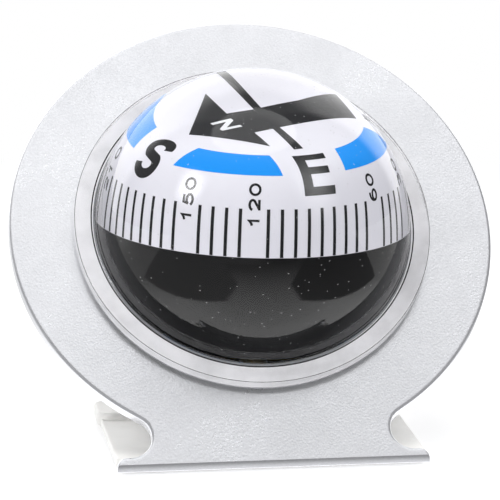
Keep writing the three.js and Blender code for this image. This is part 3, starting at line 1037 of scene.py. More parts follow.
@dataclass(frozen=True)
class Housing:
    """Clear ball and flange in front, black bowl, lock ring, filler plug and seals behind."""

    stance: Stance
    finishes: Finishes
    ball_radius: float = 21.5
    cavity_radius: float = 20.1
    liquid_radius: float = 20.25
    flange_radius: float = 24.25
    flange_low: float = 0.1
    flange_top: float = 1.7
    film_outer: float = 24.2
    film_gap: float = 0.02
    film_sink: float = 0.06
    film_start: float = 0.05
    film_rings: int = 8
    film_steps: int = 288
    film_wave: float = 0.025
    film_noise: tuple[Pair, ...] = ((1.6, 1.0), (4.5, 0.6))
    foot_fillet: float = 0.5
    rim_round: float = 0.2
    edge_round: float = 0.12
    # Dark hairlines as (name, radius, height, half thickness): painted shade for the dark refraction lines at
    # the glass edges.
    dirt_lines: tuple[tuple[str, float, float, float], ...] = (
        ("corner_painted_dark_line", 21.96, 1.715, 0.09), ("rim_painted_dark_line", 24.19, 1.64, 0.035))
    fleck_lowest: float = 3.0
    fleck_density: float = 0.16
    fleck_small: float = 0.035
    fleck_large: float = 0.13
    fleck_seed: int = 7
    seal_inner: float = 20.3
    seal_outer: float = 21.3
    seal_thickness: float = 0.4
    bowl_rim: float = -0.5
    collar_end: float = -6.7
    groove_count: int = 3
    groove_pitch: float = 0.7
    groove_depth: float = 0.22
    ring_inner: float = 21.6
    ring_outer: float = 25.2
    ring_top: float = -2.1
    ring_bottom: float = -3.9
    ring_rim: float = 0.22
    ring_notch: float = 1.2
    ring_notches: int = 6
    boss_radius: float = 3.4
    boss_face: float = -22.0
    recess_radius: float = 2.4
    recess_floor: float = -20.5
    bore_radius: float = 1.6
    socket_root: float = -20.9
    socket_outer: float = 3.6
    socket_inner: float = 2.7
    socket_floor: float = 0.7
    socket_depth: float = 1.8
    plug_head: float = 2.3
    plug_head_end: float = -21.1
    plug_shank: float = 1.5
    plug_end: float = -19.5
    plug_slot: float = 0.6
    plug_seal_middle: float = 1.85
    plug_seal_half: float = 0.2
    plug_slot_depth: float = 0.4
    plug_slot_length: float = 8.0

    def fit(self, form: Form, name: str, finish: Finish, smooth_deg: float, slot: Slot, *nodes: str) -> None:
        """Fits a form that is drawn in the ball's frame to the housing."""
        form.fitted(name, self.stance.ball(), finish, smooth_deg, Body.HOUSING, slot, *nodes)
    def build_ball(self) -> None:
        """Builds the clear dome with its flange, in one with the liquid that fills the ball."""
        middle, fillet = self.stance.ball_offset, self.foot_fillet
        rise = self.flange_top + fillet - middle
        angle = latitude(self.ball_radius + fillet, rise)
        across = (self.ball_radius + fillet) * math.cos(math.radians(angle))
        dome = arc(0, middle, self.ball_radius, 90, angle, 110)
        foot = arc(across, self.flange_top + fillet, fillet, 180 + angle, 270, 8)
        inner = math.sqrt(self.liquid_radius ** 2 - (self.flange_low - middle) ** 2)
        rim = filleted([
            (across, self.flange_top, 0),
            (self.flange_radius, self.flange_top, self.rim_round),
            (self.flange_radius, self.flange_low, 0.1),
            (inner, self.flange_low, 0),
        ], closed=False, steps=6)
        low = latitude(self.liquid_radius, self.flange_low - middle)
        back = arc(0, middle, self.liquid_radius, low, -90, 70)
        profile = [(0.0, dome[0][1]), *dome[1:], *foot[1:], *rim[1:], *back[1:-1], (0.0, back[-1][1])]
        form = Form().turned(profile, FINE_STEPS)
        self.fit(form, "clear_ball_and_flange", self.finishes.clear, 35, Slot.CLEAR, "front_dome")

    def build_seal(self) -> None:
        """Builds the thin seal between the dome and the bowl."""
        low, inner, outer = -self.seal_thickness, self.seal_inner, self.seal_outer
        sides = ((inner, low), (outer, low), (outer, 0.0), (inner, 0.0))
        profile = filleted([(x, y, self.edge_round) for x, y in sides], closed=True)
        form = Form().turned(profile, ROUND_STEPS, closed=True)
        self.fit(form, "ball_seal", self.finishes.seal, 50, Slot.SEAL, "seal_ring")

    def build_film(self) -> None:
        """Builds the thin pale film under the flange, painted light that stands in for the lit plate seen
        through the flange; its top is wavy in the flange.
        """
        low, high, inner = self.film_gap, self.flange_low + self.film_sink, self.seal_outer + self.film_start
        outer, rings = self.film_outer, self.film_rings
        top = [(outer - (outer - inner) * i / rings, high) for i in range(rings + 1)]
        form = Form().turned([(inner, low), (outer, low), *top], self.film_steps, closed=True)
        for vert in form.mesh.verts:
            if vert.co.z > self.flange_low:
                wave = sum(share * noise.noise(vert.co * scale) for scale, share in self.film_noise)
                vert.co.z += self.film_wave * wave
        self.fit(form, "flange_painted_light_film", self.finishes.film, 50, Slot.SEAL)

    def build_flecks(self) -> None:
        """Builds the specks of lint, which geometry nodes scatter over the front of the ball."""
        growth = Growth("lint_flecks", {
            "Radius": self.ball_radius, "Lowest": self.fleck_lowest, "Density": self.fleck_density,
            "Small": self.fleck_small, "Large": self.fleck_large, "Seed": self.fleck_seed,
            "Finish": self.finishes.lint.material(),
        })
        wiring, size = growth.wiring, growth.size
        ball = wiring.node("GeometryNodeMeshUVSphere", {
            "Segments": 96, "Rings": 64, "Radius": size["Radius"]})
        height = wiring.parts(wiring.node("GeometryNodeInputPosition").outputs[0])[2]
        low = wiring.math("LESS_THAN", height, size["Lowest"])
        front = wiring.node("GeometryNodeDeleteGeometry", {
            "Geometry": ball.outputs["Mesh"], "Selection": low})
        spread = wiring.node("GeometryNodeDistributePointsOnFaces", {
            "Mesh": front.outputs[0], "Density": size["Density"], "Seed": size["Seed"]})
        speck = wiring.node("GeometryNodeMeshIcoSphere", {"Radius": 1.0, "Subdivisions": 1})
        sizes = wiring.node("FunctionNodeRandomValue", {
            "Min": size["Small"], "Max": size["Large"], "Seed": size["Seed"]})
        placed = wiring.node("GeometryNodeInstanceOnPoints", {
            "Points": spread.outputs["Points"], "Instance": speck.outputs["Mesh"],
            "Rotation": spread.outputs["Rotation"],
            "Scale": wiring.joined(sizes.outputs["Value"], size["Small"], size["Small"])})
        flecks = growth.grown(placed.outputs[0])
        flecks.data.transform(self.stance.ball() @ Matrix.Translation((0, 0, self.stance.ball_offset)))
        fit_piece(flecks, Body.HOUSING, Slot.SEAL)

    def build_dirt(self) -> None:
        """Builds dark hairlines in the corner between ball and flange and along the flange's edge, painted
        shade that stands in for the dark lines refraction makes there.
        """
        for name, radius, height, half in self.dirt_lines:
            profile = arc(radius, height, half, 0, 360, 10)[1:]
            form = Form().turned(profile, FINE_STEPS, closed=True)
            self.fit(form, name, self.finishes.dirt, 60, Slot.SEAL)

    def build_bowl(self) -> None:
        """Builds the black bowl with its grooved collar and filler boss."""
        middle, radius, cavity = self.stance.ball_offset, self.ball_radius, self.cavity_radius
        bore = -math.degrees(math.acos(self.bore_radius / cavity))
        inner = arc(0, middle, cavity, latitude(cavity, self.bowl_rim - middle), bore, 60)
        root = -math.degrees(math.acos((self.boss_radius + 0.3) / radius))
        outer = arc(0, middle, radius, root, latitude(radius, self.collar_end - middle), 60)
        corners = [
            (radius, self.bowl_rim, self.edge_round), *[(x, y, 0.0) for x, y in inner],
            (self.bore_radius, self.recess_floor, 0.05), (self.recess_radius, self.recess_floor, 0.1),
            (self.recess_radius, self.boss_face, 0.12), (self.boss_radius, self.boss_face, 0.25),
            (self.boss_radius, outer[0][1] - 0.25, 0.2), *[(x, y, 0.0) for x, y in outer],
            (radius, self.collar_end, 0.15),
        ]
        for groove in range(self.groove_count):
            height, deep = self.collar_end + self.groove_pitch + self.groove_pitch * groove, self.groove_depth
            corners += [(radius, height, 0.04), (radius - deep, height + 0.12, 0.05),
                        (radius - deep, height + 0.28, 0.05), (radius, height + 0.4, 0.04)]
        form = Form().turned(filleted(corners, closed=True, steps=4), ROUND_STEPS, closed=True)
        self.fit(form, "black_bowl", self.finishes.black, 40, Slot.HOUSING, "rear_bowl")

    def build_socket(self) -> None:
        """Builds the upright socket in the bowl that holds the pivot post."""
        floor, outer, inner = self.socket_floor - self.cavity_radius, self.socket_outer, self.socket_inner
        top = floor + self.socket_depth
        profile = filleted([
            (0, self.socket_root, 0), (outer, self.socket_root, 0), (outer, top, 0.2), (inner, top, 0.1),
            (inner, floor, 0.05), (0, floor, 0),
        ], closed=False)
        Form().turned(profile, 64).fitted(
            "post_socket", self.stance.upright(), self.finishes.black, 40, Body.HOUSING, Slot.HOUSING)

    def ring_outline(self, inset: float) -> list[Point]:
        """Outline of the lock ring drawn in by an amount, with a round notch every sixty degrees.

        Args:
            inset: How far it is drawn in.

        Returns:
            The outline.
        """
        reach, notch, far = self.ring_outer - inset, self.ring_notch + inset, self.ring_outer
        half = math.degrees(math.acos((reach ** 2 + far ** 2 - notch ** 2) / (2 * reach * far)))
        swing = math.degrees(math.acos((far ** 2 + notch ** 2 - reach ** 2) / (2 * far * notch)))
        step = 360 / self.ring_notches
        points: list[Point] = []
        for i in range(self.ring_notches):
            turn = (i + 0.5) * step
            x, y = far * math.cos(math.radians(turn)), far * math.sin(math.radians(turn))
            points += arc(x, y, notch, turn + 180 + swing, turn + 180 - swing, 14)
            points += arc(0, 0, reach, turn + half, turn + step - half, 30)[1:-1]
        return points

    def build_ring(self) -> None:
        """Builds the notched ring that holds the ball from behind."""
        def bore(inset: float) -> list[Point]:
            """The ring's bore, grown by an amount."""
            return arc(0, 0, self.ring_inner + inset, 0, 360, ROUND_STEPS)[1:]

        form = Form().slab(self.ring_outline, self.ring_bottom, self.ring_top, self.ring_rim, bore)
        self.fit(form, "notched_lock_ring", self.finishes.black, 40, Slot.HOUSING, "lock_ring")

    def build_plug(self) -> None:
        """Builds the slotted filler plug and the seal under its head."""
        material = self.finishes.brass.material()
        head = filleted([
            (0, self.boss_face, 0), (self.plug_head, self.boss_face, 0.15),
            (self.plug_head, self.plug_head_end, 0.08), (self.plug_shank, self.plug_head_end, 0.05),
            (self.plug_shank, self.plug_end, 0.2), (0, self.plug_end, 0),
        ], closed=False)
        plug = Form().turned(head, 96).object("slotted_filler_plug", self.stance.ball(), material, 40)
        cutter = Form()
        bmesh.ops.create_cube(cutter.mesh, size=1.0)
        verts, deep = cutter.mesh.verts[:], self.boss_face + self.plug_slot_depth
        bmesh.ops.scale(cutter.mesh, vec=(self.plug_slot_length, self.plug_slot, 2), verts=verts)
        bmesh.ops.translate(cutter.mesh, vec=(0, 0, deep - 1), verts=verts)
        combined(plug, cutter.object("slot_tool", self.stance.ball(), material), "DIFFERENCE")
        fit_piece(plug, Body.HOUSING, Slot.BRASS, "filler_plug")
        middle, thick = self.plug_seal_middle, self.plug_seal_half
        section = arc(middle, self.plug_head_end + 0.1 + thick, thick, 0, 360, 20)[1:]
        oval = [(middle + (x - middle) * 1.2, y) for x, y in section]
        self.fit(Form().turned(oval, 64, closed=True), "plug_seal_ring", self.finishes.seal, 60, Slot.SEAL,
                 "plug_seal")

    def build(self) -> None:
        """Builds the ball and everything that holds it."""
        self.build_ball()
        self.build_seal()
        self.build_film()
        self.build_dirt()
        self.build_flecks()
        self.build_bowl()
        self.build_socket()
        self.build_ring()
        self.build_plug()


@dataclass(frozen=True)
class Crown:
    """Outside of the dial's cap: an upright skirt that turns into a low crown."""

    radius: float = 16.4
    rise: float = 11.734
    drop: float = 0.5
    power: float = 5.0
    table: list[tuple[float, float, float]] = field(default_factory=list)

    def __post_init__(self) -> None:
        """Walks along the half outline and notes the way, radius and height at each step."""
        way, last = 0.0, Vector((self.radius, 0.0))
        for i in range(CROWN_STEPS + 1):
            turn = math.radians(90 * i / CROWN_STEPS)
            across, up = math.cos(turn), math.sin(turn)
            both = (across / self.radius) ** self.power + (up / self.rise) ** self.power
            size = both ** (-1 / self.power)
            here = Vector((size * across, size * up))
            way += (here - last).length
            last = here
            self.table.append((way, here.x if i < CROWN_STEPS else 0.0, here.y - self.drop))

    def height(self, radius: float) -> float:
        """Height of the outside at a distance from the axis."""
        share = max(0.0, 1 - (min(radius, self.radius) / self.radius) ** self.power)
        return self.rise * share ** (1 / self.power) - self.drop

    def way_at(self, height: float) -> float:
        """Way along the outline from the rim up to a height."""
        return next((way for way, _, z in self.table if z >= height), self.table[-1][0])

    def point(self, way: float) -> tuple[float, float]:
        """Radius and height at a way along the outline."""
        low, high = 0, len(self.table) - 1
        while high - low > 1:
            mid = (low + high) // 2
            if self.table[mid][0] <= way:
                low = mid
            else:
                high = mid
        first, second = self.table[low], self.table[high]
        share = (way - first[0]) / max(1e-9, second[0] - first[0])
        return first[1] + share * (second[1] - first[1]), first[2] + share * (second[2] - first[2])

    def outline(self, steps: int) -> list[Point]:
        """The half outline from the rim to the pole, in even steps."""
        full = self.table[-1][0]
        points = [self.point(full * i / steps) for i in range(steps + 1)]
        points[-1] = (0.0, points[-1][1])
        return points


class Flat:
    """Flat marks drawn in millimetres, cut into small faces so that they can lie on the cap."""

    def __init__(self) -> None:
        """Starts with nothing drawn."""
        self.mesh = bmesh.new()

    def polygon(self, points: Sequence[Point]) -> None:
        """Adds a filled outline."""
        verts = [self.mesh.verts.new((x, y, 0)) for x, y in points]
        for corners in tessellate_polygon([[vert.co for vert in verts]]):
            self.mesh.faces.new([verts[i] for i in corners])

    def stroke(self, path: Sequence[Point], width: float, closed: bool = False) -> None:
        """Adds a band of even width along a path.

        Args:
            path: Points along the middle of the band.
            width: The band's width.
            closed: Whether the path closes on itself.
        """
        count = len(path)
        rows = []
        for i, (x, y) in enumerate(path):
            before = path[i - 1] if i or closed else path[i]
            after = path[(i + 1) % count] if i < count - 1 or closed else path[i]
            one = (Vector((x, y)) - Vector(before)).normalized()
            two = (Vector(after) - Vector((x, y))).normalized()
            along = (one + two).normalized()
            stretch = width / 2 / max(0.5, along.dot(one if one.length else two))
            side = Vector((-along.y, along.x)) * stretch
            rows.append([self.mesh.verts.new((x + side.x, y + side.y, 0)),
                         self.mesh.verts.new((x - side.x, y - side.y, 0))])
        for i in range(count if closed else count - 1):
            low, high = rows[i], rows[(i + 1) % count]
            self.mesh.faces.new((low[0], low[1], high[1], high[0]))

    def grid(self, pitch: float) -> None:
        """Cuts every face along a square grid.

        Args:
            pitch: The grid's spacing.
        """
        for axis in range(2):
            spread = [vert.co[axis] for vert in self.mesh.verts]
            first, last = math.floor(min(spread) / pitch), math.ceil(max(spread) / pitch)
            normal = Vector((1, 0, 0)) if axis == 0 else Vector((0, 1, 0))
            for i in range(first, last + 1):
                parts = [*self.mesh.verts, *self.mesh.edges, *self.mesh.faces]
                bmesh.ops.bisect_plane(self.mesh, geom=parts, plane_co=normal * (i * pitch),
                                       plane_no=normal, dist=CUT_REACH)

    def laid(self, form: Form, place: Callable[[float, float], tuple[Vector, Vector]], lift: float,
             bury: float) -> None:
        """Lays the marks on a surface as thin closed sheets.

        Args:
            form: Where the sheets go.
            place: Gives the surface's point and its outward normal for a flat point.
            lift: How far the sheets stand above the surface.
            bury: How far they reach below it.
        """
        tops, lows = {}, {}
        for vert in self.mesh.verts:
            point, normal = place(vert.co.x, vert.co.y)
            tops[vert] = form.mesh.verts.new(point + normal * lift)
            lows[vert] = form.mesh.verts.new(point - normal * bury)
        for face in self.mesh.faces:
            form.mesh.faces.new([tops[vert] for vert in face.verts])
            form.mesh.faces.new([lows[vert] for vert in reversed(face.verts)])
        for edge in self.mesh.edges:
            if len(edge.link_faces) == 1:
                one, two = edge.verts
                form.mesh.faces.new((tops[one], tops[two], lows[two], lows[one]))
        self.mesh.free()


class Digit(Enum):
    """Thin digits as paths in a box one wide and one high."""

    ZERO = "0"
    ONE = "1"
    TWO = "2"
    THREE = "3"
    FOUR = "4"
    FIVE = "5"
    SIX = "6"

    def paths(self) -> list[tuple[list[Point], bool]]:
        """The digit's strokes, each with whether it closes."""
        def oval(x: float, y: float, wide: float, high: float, start: float, end: float,
                 steps: int = 20) -> list[Point]:
            """Points along part of an ellipse."""
            turns = [math.radians(start + (end - start) * i / steps) for i in range(steps + 1)]
            return [(x + wide * math.cos(t), y + high * math.sin(t)) for t in turns]

        strokes: dict[Digit, list[tuple[list[Point], bool]]] = {
            Digit.ZERO: [(oval(0.5, 0.5, 0.5, 0.5, 0, 360, 28)[:-1], True)],
            Digit.ONE: [([(0.0, 0.72), (0.24, 0.8), (0.46, 1.0), (0.46, 0.0)], False)],
            Digit.TWO: [([*oval(0.5, 0.7, 0.46, 0.3, 175, -38, 14), (0.45, 0.27), (0.1, 0.06)], False),
                        ([(0.0, 0.06), (1.0, 0.06)], False)],
            Digit.THREE: [([*oval(0.46, 0.74, 0.42, 0.26, 160, -82, 14)], False),
                          ([*oval(0.48, 0.26, 0.5, 0.26, 84, -160, 16)], False)],
            Digit.FOUR: [([(0.72, 0.0), (0.72, 1.0), (0.0, 0.28), (1.0, 0.28)], False)],
            Digit.FIVE: [([(0.9, 0.97), (0.2, 0.97), (0.08, 0.46)], False),
                         ([*oval(0.47, 0.33, 0.5, 0.32, 148, -158, 20)], False)],
            Digit.SIX: [(oval(0.5, 0.31, 0.48, 0.31, 0, 360, 26)[:-1], True),
                        (oval(0.66, 0.42, 0.64, 0.56, 78, 190, 14), False)],
        }
        return strokes[self]


class Letter(Enum):
    """Bold capitals for the four winds, in a box of the given width and height."""

    NORTH = "N"
    EAST = "E"
    SOUTH = "S"
    WEST = "W"

    def draw(self, flat: Flat, wide: float, high: float, stem: float) -> None:
        """Draws the letter around the middle of its foot.

        Args:
            flat: Where it is drawn.
            wide: Its width.
            high: Its height.
            stem: Width of its strokes.
        """
        half = wide / 2
        if self is Letter.EAST:
            arm = stem * 0.86
            middle = high * 0.53
            flat.polygon([
                (-half, 0), (half, 0), (half, arm), (-half + stem, arm), (-half + stem, middle - arm / 2),
                (half * 0.84, middle - arm / 2), (half * 0.84, middle + arm / 2),
                (-half + stem, middle + arm / 2), (-half + stem, high - arm), (half * 0.95, high - arm),
                (half * 0.95, high), (-half, high),
            ])
        elif self is Letter.NORTH:
            flat.polygon([
                (-half, 0), (-half + stem, 0), (-half + stem, high * 0.66), (half - stem * 1.05, 0),
                (half, 0), (half, high), (half - stem, high), (half - stem, high * 0.34),
                (-half + stem * 1.05, high), (-half, high),
            ])
        elif self is Letter.WEST:
            lean = stem * 1.04
            reach = half * 1.22
            flat.polygon([
                (-reach, high), (-reach + lean, high), (-reach * 0.5 + lean * 0.12, high * 0.3),
                (-lean * 0.5, high), (lean * 0.5, high), (reach * 0.5 - lean * 0.12, high * 0.3),
                (reach - lean, high), (reach, high), (reach * 0.5 + lean * 0.5, 0),
                (reach * 0.5 - lean * 0.5, 0), (0, high * 0.66), (-reach * 0.5 + lean * 0.5, 0),
                (-reach * 0.5 - lean * 0.5, 0),
            ])
        else:
            inner = half - stem / 2
            lobe = (high - stem) / 4
            low, top = stem / 2 + lobe, high - stem / 2 - lobe
            path = [(inner * math.cos(t), top + lobe * math.sin(t))
                    for t in [math.radians(2 + 268 * i / 22) for i in range(20)]]
            path += [(inner * math.cos(t), low + lobe * math.sin(t))
                     for t in [math.radians(90 - 268 * i / 22) for i in range(3, 23)]]
            flat.stroke(path, stem)


@dataclass(frozen=True)
class Dial:
    """Floating dial: white cap with its printed marks, and the black bowl of the float below."""

    stance: Stance
    finishes: Finishes
    crown: Crown = field(default_factory=Crown)
    wall: float = 1.0
    bowl_rim: float = -0.6
    mouth_radius: float = 8.5
    mouth_wall: float = 0.8
    spigot_gap: float = 0.1
    spigot_wall: float = 1.15
    spigot_top: float = 0.2
    spigot_root: float = 1.2
    floor_wall: float = 1.0
    lift: float = 0.03
    bury: float = 0.06
    tick_width: float = 0.4
    tick_low: float = -0.45
    tick_high: float = 5.5
    tick_count: int = 60
    label_every: int = 5
    cardinal_every: int = 15
    digit_width: float = 1.6
    digit_height: float = 1.54
    digit_advance: float = 1.9
    digit_stroke: float = 0.3
    number_top: float = 8.55
    letter_width: float = 4.27
    letter_height: float = 6.25
    letter_stem: float = 1.25
    letter_low: float = 7.05
    letter_lean: float = 0.05
    letter_grid: float = 0.6
    arc_inner: float = 11.2
    arc_outer: float = 14.7
    arc_gap: float = 4.3
    arc_grid: float = 0.7
    arrow_grid: float = 0.8
    number_ring: float = 0.975
    head_letter: tuple[float, float, float] = (2.4, 2.5, 0.5)
    head_place: Point = (-3.1, 0.65)
    arrow: tuple[tuple[Point, ...], ...] = (
        ((-9.17, 0.49), (-3.07, 8.13), (-2.77, 3.83), (-0.1, 3.6), (-0.1, -1.5), (-2.79, -1.84),
         (-2.1, -6.68)),
        ((-0.15, 3.6), (9.91, 2.5), (9.32, -2.68), (4.95, -1.68), (-0.1, -1.5)),
        ((-0.4, 3.5), (-0.81, 9.83), (0.36, 9.83), (0.42, 3.5)),
        ((0.1, -1.45), (0.98, -9.76), (1.75, -9.4), (0.9, -1.45)),
    )

    def fit(self, form: Form, name: str, finish: Finish, smooth_deg: float, slot: Slot, *nodes: str) -> None:
        """Fits a form that is drawn in the dial's frame to the dial."""
        form.fitted(name, self.stance.dial(), finish, smooth_deg, Body.DIAL, slot, *nodes)

    def on_meridian(self, reading: float, way: float, side: float,
                    middle_radius: float = 0.0) -> tuple[Vector, Vector]:
        """A point on the cap and its normal.

        Args:
            reading: The dial's reading of the meridian, in degrees.
            way: Way up the meridian from the rim.
            side: Distance to the side, towards lower readings.
            middle_radius: Radius at which the side distance is true, or 0 for the point's own.

        Returns:
            The point and the outward normal.
        """
        radius, height = self.crown.point(way)
        low, high = self.crown.point(max(0.0, way - 0.05)), self.crown.point(way + 0.05)
        out, up = high[1] - low[1], low[0] - high[0]
        turn = math.radians(-reading) + math.asin(side / (middle_radius or radius))
        facing = Vector((math.sin(turn), -math.cos(turn), 0))
        normal = (facing * out + Vector((0, 0, up))).normalized()
        return facing * radius + Vector((0, 0, height)), normal

    def on_top(self, north: float, east: float) -> tuple[Vector, Vector]:
        """A point on the crown straight above a place on the dial, and its normal."""
        radius = math.hypot(north, east)
        slope = (self.crown.height(radius + 0.02) - self.crown.height(max(0.0, radius - 0.02))) / 0.04
        facing = Vector((-east, -north, 0)).normalized() if radius > TINY else Vector((0, 0, 0))
        normal = (Vector((0, 0, 1)) - facing * slope).normalized()
        return Vector((-east, -north, self.crown.height(radius))), normal

    def build_cap(self) -> None:
        """Builds the white cap."""
        inner = Crown(self.crown.radius - self.wall, self.crown.rise - self.wall, self.crown.drop)
        profile = [*reversed(inner.outline(60)), *self.crown.outline(120)]
        form = Form().turned(profile, FINE_STEPS)
        self.fit(form, "white_dial_cap", self.finishes.cap, 40, Slot.DIAL, "dial_cap")

    def build_bowl(self) -> None:
        """Builds the black lower half of the float, open below around the post."""
        radius, wall = self.crown.radius, self.wall
        mouth = self.mouth_radius + self.mouth_wall
        depth = math.sqrt(radius ** 2 - mouth ** 2)
        spigot, top, floor = radius - wall - self.spigot_gap, self.spigot_top, self.floor_wall - depth
        lining, root = spigot - self.spigot_wall, self.bowl_rim - self.spigot_root
        outer = arc(0, 0, radius, latitude(radius, -depth), latitude(radius, self.bowl_rim), 70)
        inner = arc(0, 0, radius - wall, latitude(radius - wall, root - self.spigot_wall),
                    latitude(radius - wall, floor), 50)
        corners = [(self.mouth_radius, -depth, 0.1), *[(x, y, 0.0) for x, y in outer],
                   (spigot, self.bowl_rim, 0.0), (spigot, top, 0.1), (lining, top, 0.1), (lining, root, 0.0),
                   *[(x, y, 0.0) for x, y in inner], (self.mouth_radius, floor, 0.1)]
        form = Form().turned(filleted(corners, closed=True, steps=4), ROUND_STEPS, closed=True)
        self.fit(form, "black_float_bowl", self.finishes.float_, 40, Slot.FLOAT, "float_bowl")

    def build_ticks(self) -> None:
        """Builds the scale: geometry nodes stand a tick at each step, except where a number stands."""
        growth = Growth("scale_ticks", {
            "Radius": self.crown.radius, "Rise": self.crown.rise, "Drop": self.crown.drop,
            "Power": self.crown.power, "Low": self.tick_low, "High": self.tick_high,
            "Width": self.tick_width, "Lift": self.lift, "Bury": self.bury, "Count": self.tick_count,
            "Label every": self.label_every, "Cardinal every": self.cardinal_every,
            "Finish": self.finishes.ink.material(),
        })
        wiring, size = growth.wiring, growth.size
        tall = wiring.minus(size["High"], size["Low"])
        thick = wiring.plus(size["Lift"], size["Bury"])
        box = wiring.node("GeometryNodeMeshCube", {
            "Size": wiring.joined(size["Width"], thick, tall), "Vertices X": 3, "Vertices Y": 2,
            "Vertices Z": 11})
        x, y, z = wiring.parts(wiring.node("GeometryNodeInputPosition").outputs[0])
        height = wiring.plus(z, wiring.scaled(tall, 0.5, size["Low"]))
        share = wiring.math("DIVIDE", wiring.plus(height, size["Drop"]), size["Rise"])
        left = wiring.minus(1.0, wiring.math("POWER", wiring.most(share, 0.0), size["Power"]))
        root = wiring.math("POWER", left, wiring.math("DIVIDE", 1.0, size["Power"]))
        shift = wiring.times(wiring.minus(size["Lift"], size["Bury"]), 0.5)
        out = wiring.minus(wiring.minus(y, shift), wiring.times(size["Radius"], root))
        bent = wiring.node("GeometryNodeSetPosition", {
            "Geometry": box.outputs["Mesh"], "Position": wiring.joined(x, out, height)})
        index = wiring.node("GeometryNodeInputIndex").outputs[0]
        numbered, cardinal = [
            wiring.math("COMPARE", wiring.math("MODULO", index, size[every]), 0.0, 0.1)
            for every in ("Label every", "Cardinal every")]
        plain = wiring.most(wiring.minus(1.0, numbered), cardinal)
        points = wiring.node("GeometryNodePoints", {"Count": size["Count"]})
        turn = wiring.times(index, wiring.math("DIVIDE", 2 * math.pi, size["Count"]))
        spread = wiring.node("GeometryNodeInstanceOnPoints", {
            "Points": points.outputs[0], "Selection": plain, "Instance": bent.outputs[0],
            "Rotation": wiring.node("FunctionNodeEulerToRotation", {
                0: wiring.joined(0.0, 0.0, turn)}).outputs[0]})
        ticks = growth.grown(spread.outputs[0])
        ticks.data.transform(self.stance.dial())
        fit_piece(ticks, Body.DIAL, Slot.FLOAT)

    def build_numbers(self) -> None:
        """Builds the numbers, which read up the meridians between the winds."""
        form = Form()
        top, radius = self.crown.way_at(self.number_top), self.crown.radius * self.number_ring
        across, up = self.digit_width - self.digit_stroke, self.digit_height - self.digit_stroke
        for reading in range(30, 360, 30):
            if reading % 90 == 0:
                continue
            text = str(reading)
            start = top - self.digit_advance * (len(text) - 1) - self.digit_width
            for i, sign in enumerate(text):
                flat = Flat()
                for path, closed in Digit(sign).paths():
                    flat.stroke([(x * across, (y - 0.5) * up) for x, y in path], self.digit_stroke, closed)
                begin = start + i * self.digit_advance + self.digit_stroke / 2
                flat.laid(form, lambda x, y, r=reading, b=begin: self.on_meridian(r, b + x, -y, radius),
                          self.lift, self.bury)
        self.fit(form, "dial_numbers", self.finishes.ink, 30, Slot.FLOAT)

    def build_letters(self) -> None:
        """Builds the bold letters of the four winds over the shoulder of the cap."""
        form = Form()
        start, lean = self.crown.way_at(self.letter_low), self.letter_lean
        for reading, letter in zip(range(0, 360, 90), Letter):
            flat = Flat()
            letter.draw(flat, self.letter_width, self.letter_height, self.letter_stem)
            flat.grid(self.letter_grid)
            flat.laid(form, lambda x, y, r=reading: self.on_meridian(r, start + y, x + lean * y),
                      self.lift, self.bury)
        self.fit(form, "wind_letters", self.finishes.ink, 30, Slot.FLOAT)

    def build_arcs(self) -> None:
        """Builds the four blue arcs between the winds, their ends parallel to the dial's axes."""
        form = Form()
        for quarter in range(4):
            flat = Flat()
            rings = []
            for radius, steps in ((self.arc_outer, 40), (self.arc_inner, 34)):
                edge = math.degrees(math.asin(self.arc_gap / radius))
                rings.append(arc(0, 0, radius, edge, 90 - edge, steps))
            flat.polygon([*rings[0], *reversed(rings[1])])
            flat.grid(self.arc_grid)
            turn = math.radians(90 * quarter)
            cos, sin = math.cos(turn), math.sin(turn)
            flat.laid(form, lambda x, y, c=cos, s=sin: self.on_top(x * c - y * s, x * s + y * c),
                      self.lift, self.bury)
        self.fit(form, "blue_arcs", self.finishes.blue, 30, Slot.DIAL)

    def build_arrow(self) -> None:
        """Builds the black arrow with its crossbar, and the small pale letter on its head."""
        form = Form()
        for points in self.arrow:
            flat = Flat()
            flat.polygon(points)
            flat.grid(self.arrow_grid)
            flat.laid(form, self.on_top, self.lift, self.bury)
        self.fit(form, "dial_arrow", self.finishes.ink, 30, Slot.FLOAT)
        form, flat, (north, east) = Form(), Flat(), self.head_place
        Letter.NORTH.draw(flat, *self.head_letter)
        flat.grid(self.letter_grid)
        flat.laid(form, lambda x, y: self.on_top(north - y, east - x), self.lift * 2, 0.0)
        self.fit(form, "arrow_head_letter", self.finishes.paper, 30, Slot.DIAL)

    def build(self) -> None:
        """Builds the float and everything printed on it."""
        self.build_cap()
        self.build_bowl()
        self.build_ticks()
        self.build_numbers()
        self.build_letters()
        self.build_arcs()
        self.build_arrow()


@dataclass(frozen=True)
class Works:
    """The small parts inside, whose CAD shapes are right and only need their finishes."""

    finishes: Finishes

    def build(self) -> None:
        """Gives each CAD node its finish."""
        kinds = {
            "pivot_post": self.finishes.brass, "pivot_needle": self.finishes.steel,
            "jewel_cup": self.finishes.jewel, "jewel_bush": self.finishes.brass,
            "float_deck": self.finishes.pale, "magnet_cradle": self.finishes.grey,
            "magnet_left": self.finishes.magnet, "magnet_right": self.finishes.magnet,
            "balance_weight": self.finishes.brass,
        }
        for name, finish in kinds.items():
            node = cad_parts[name]
            for slot in node.material_slots:
                slot.material = finish.material()
            LOG.info("node %s takes %s", name, finish.name)


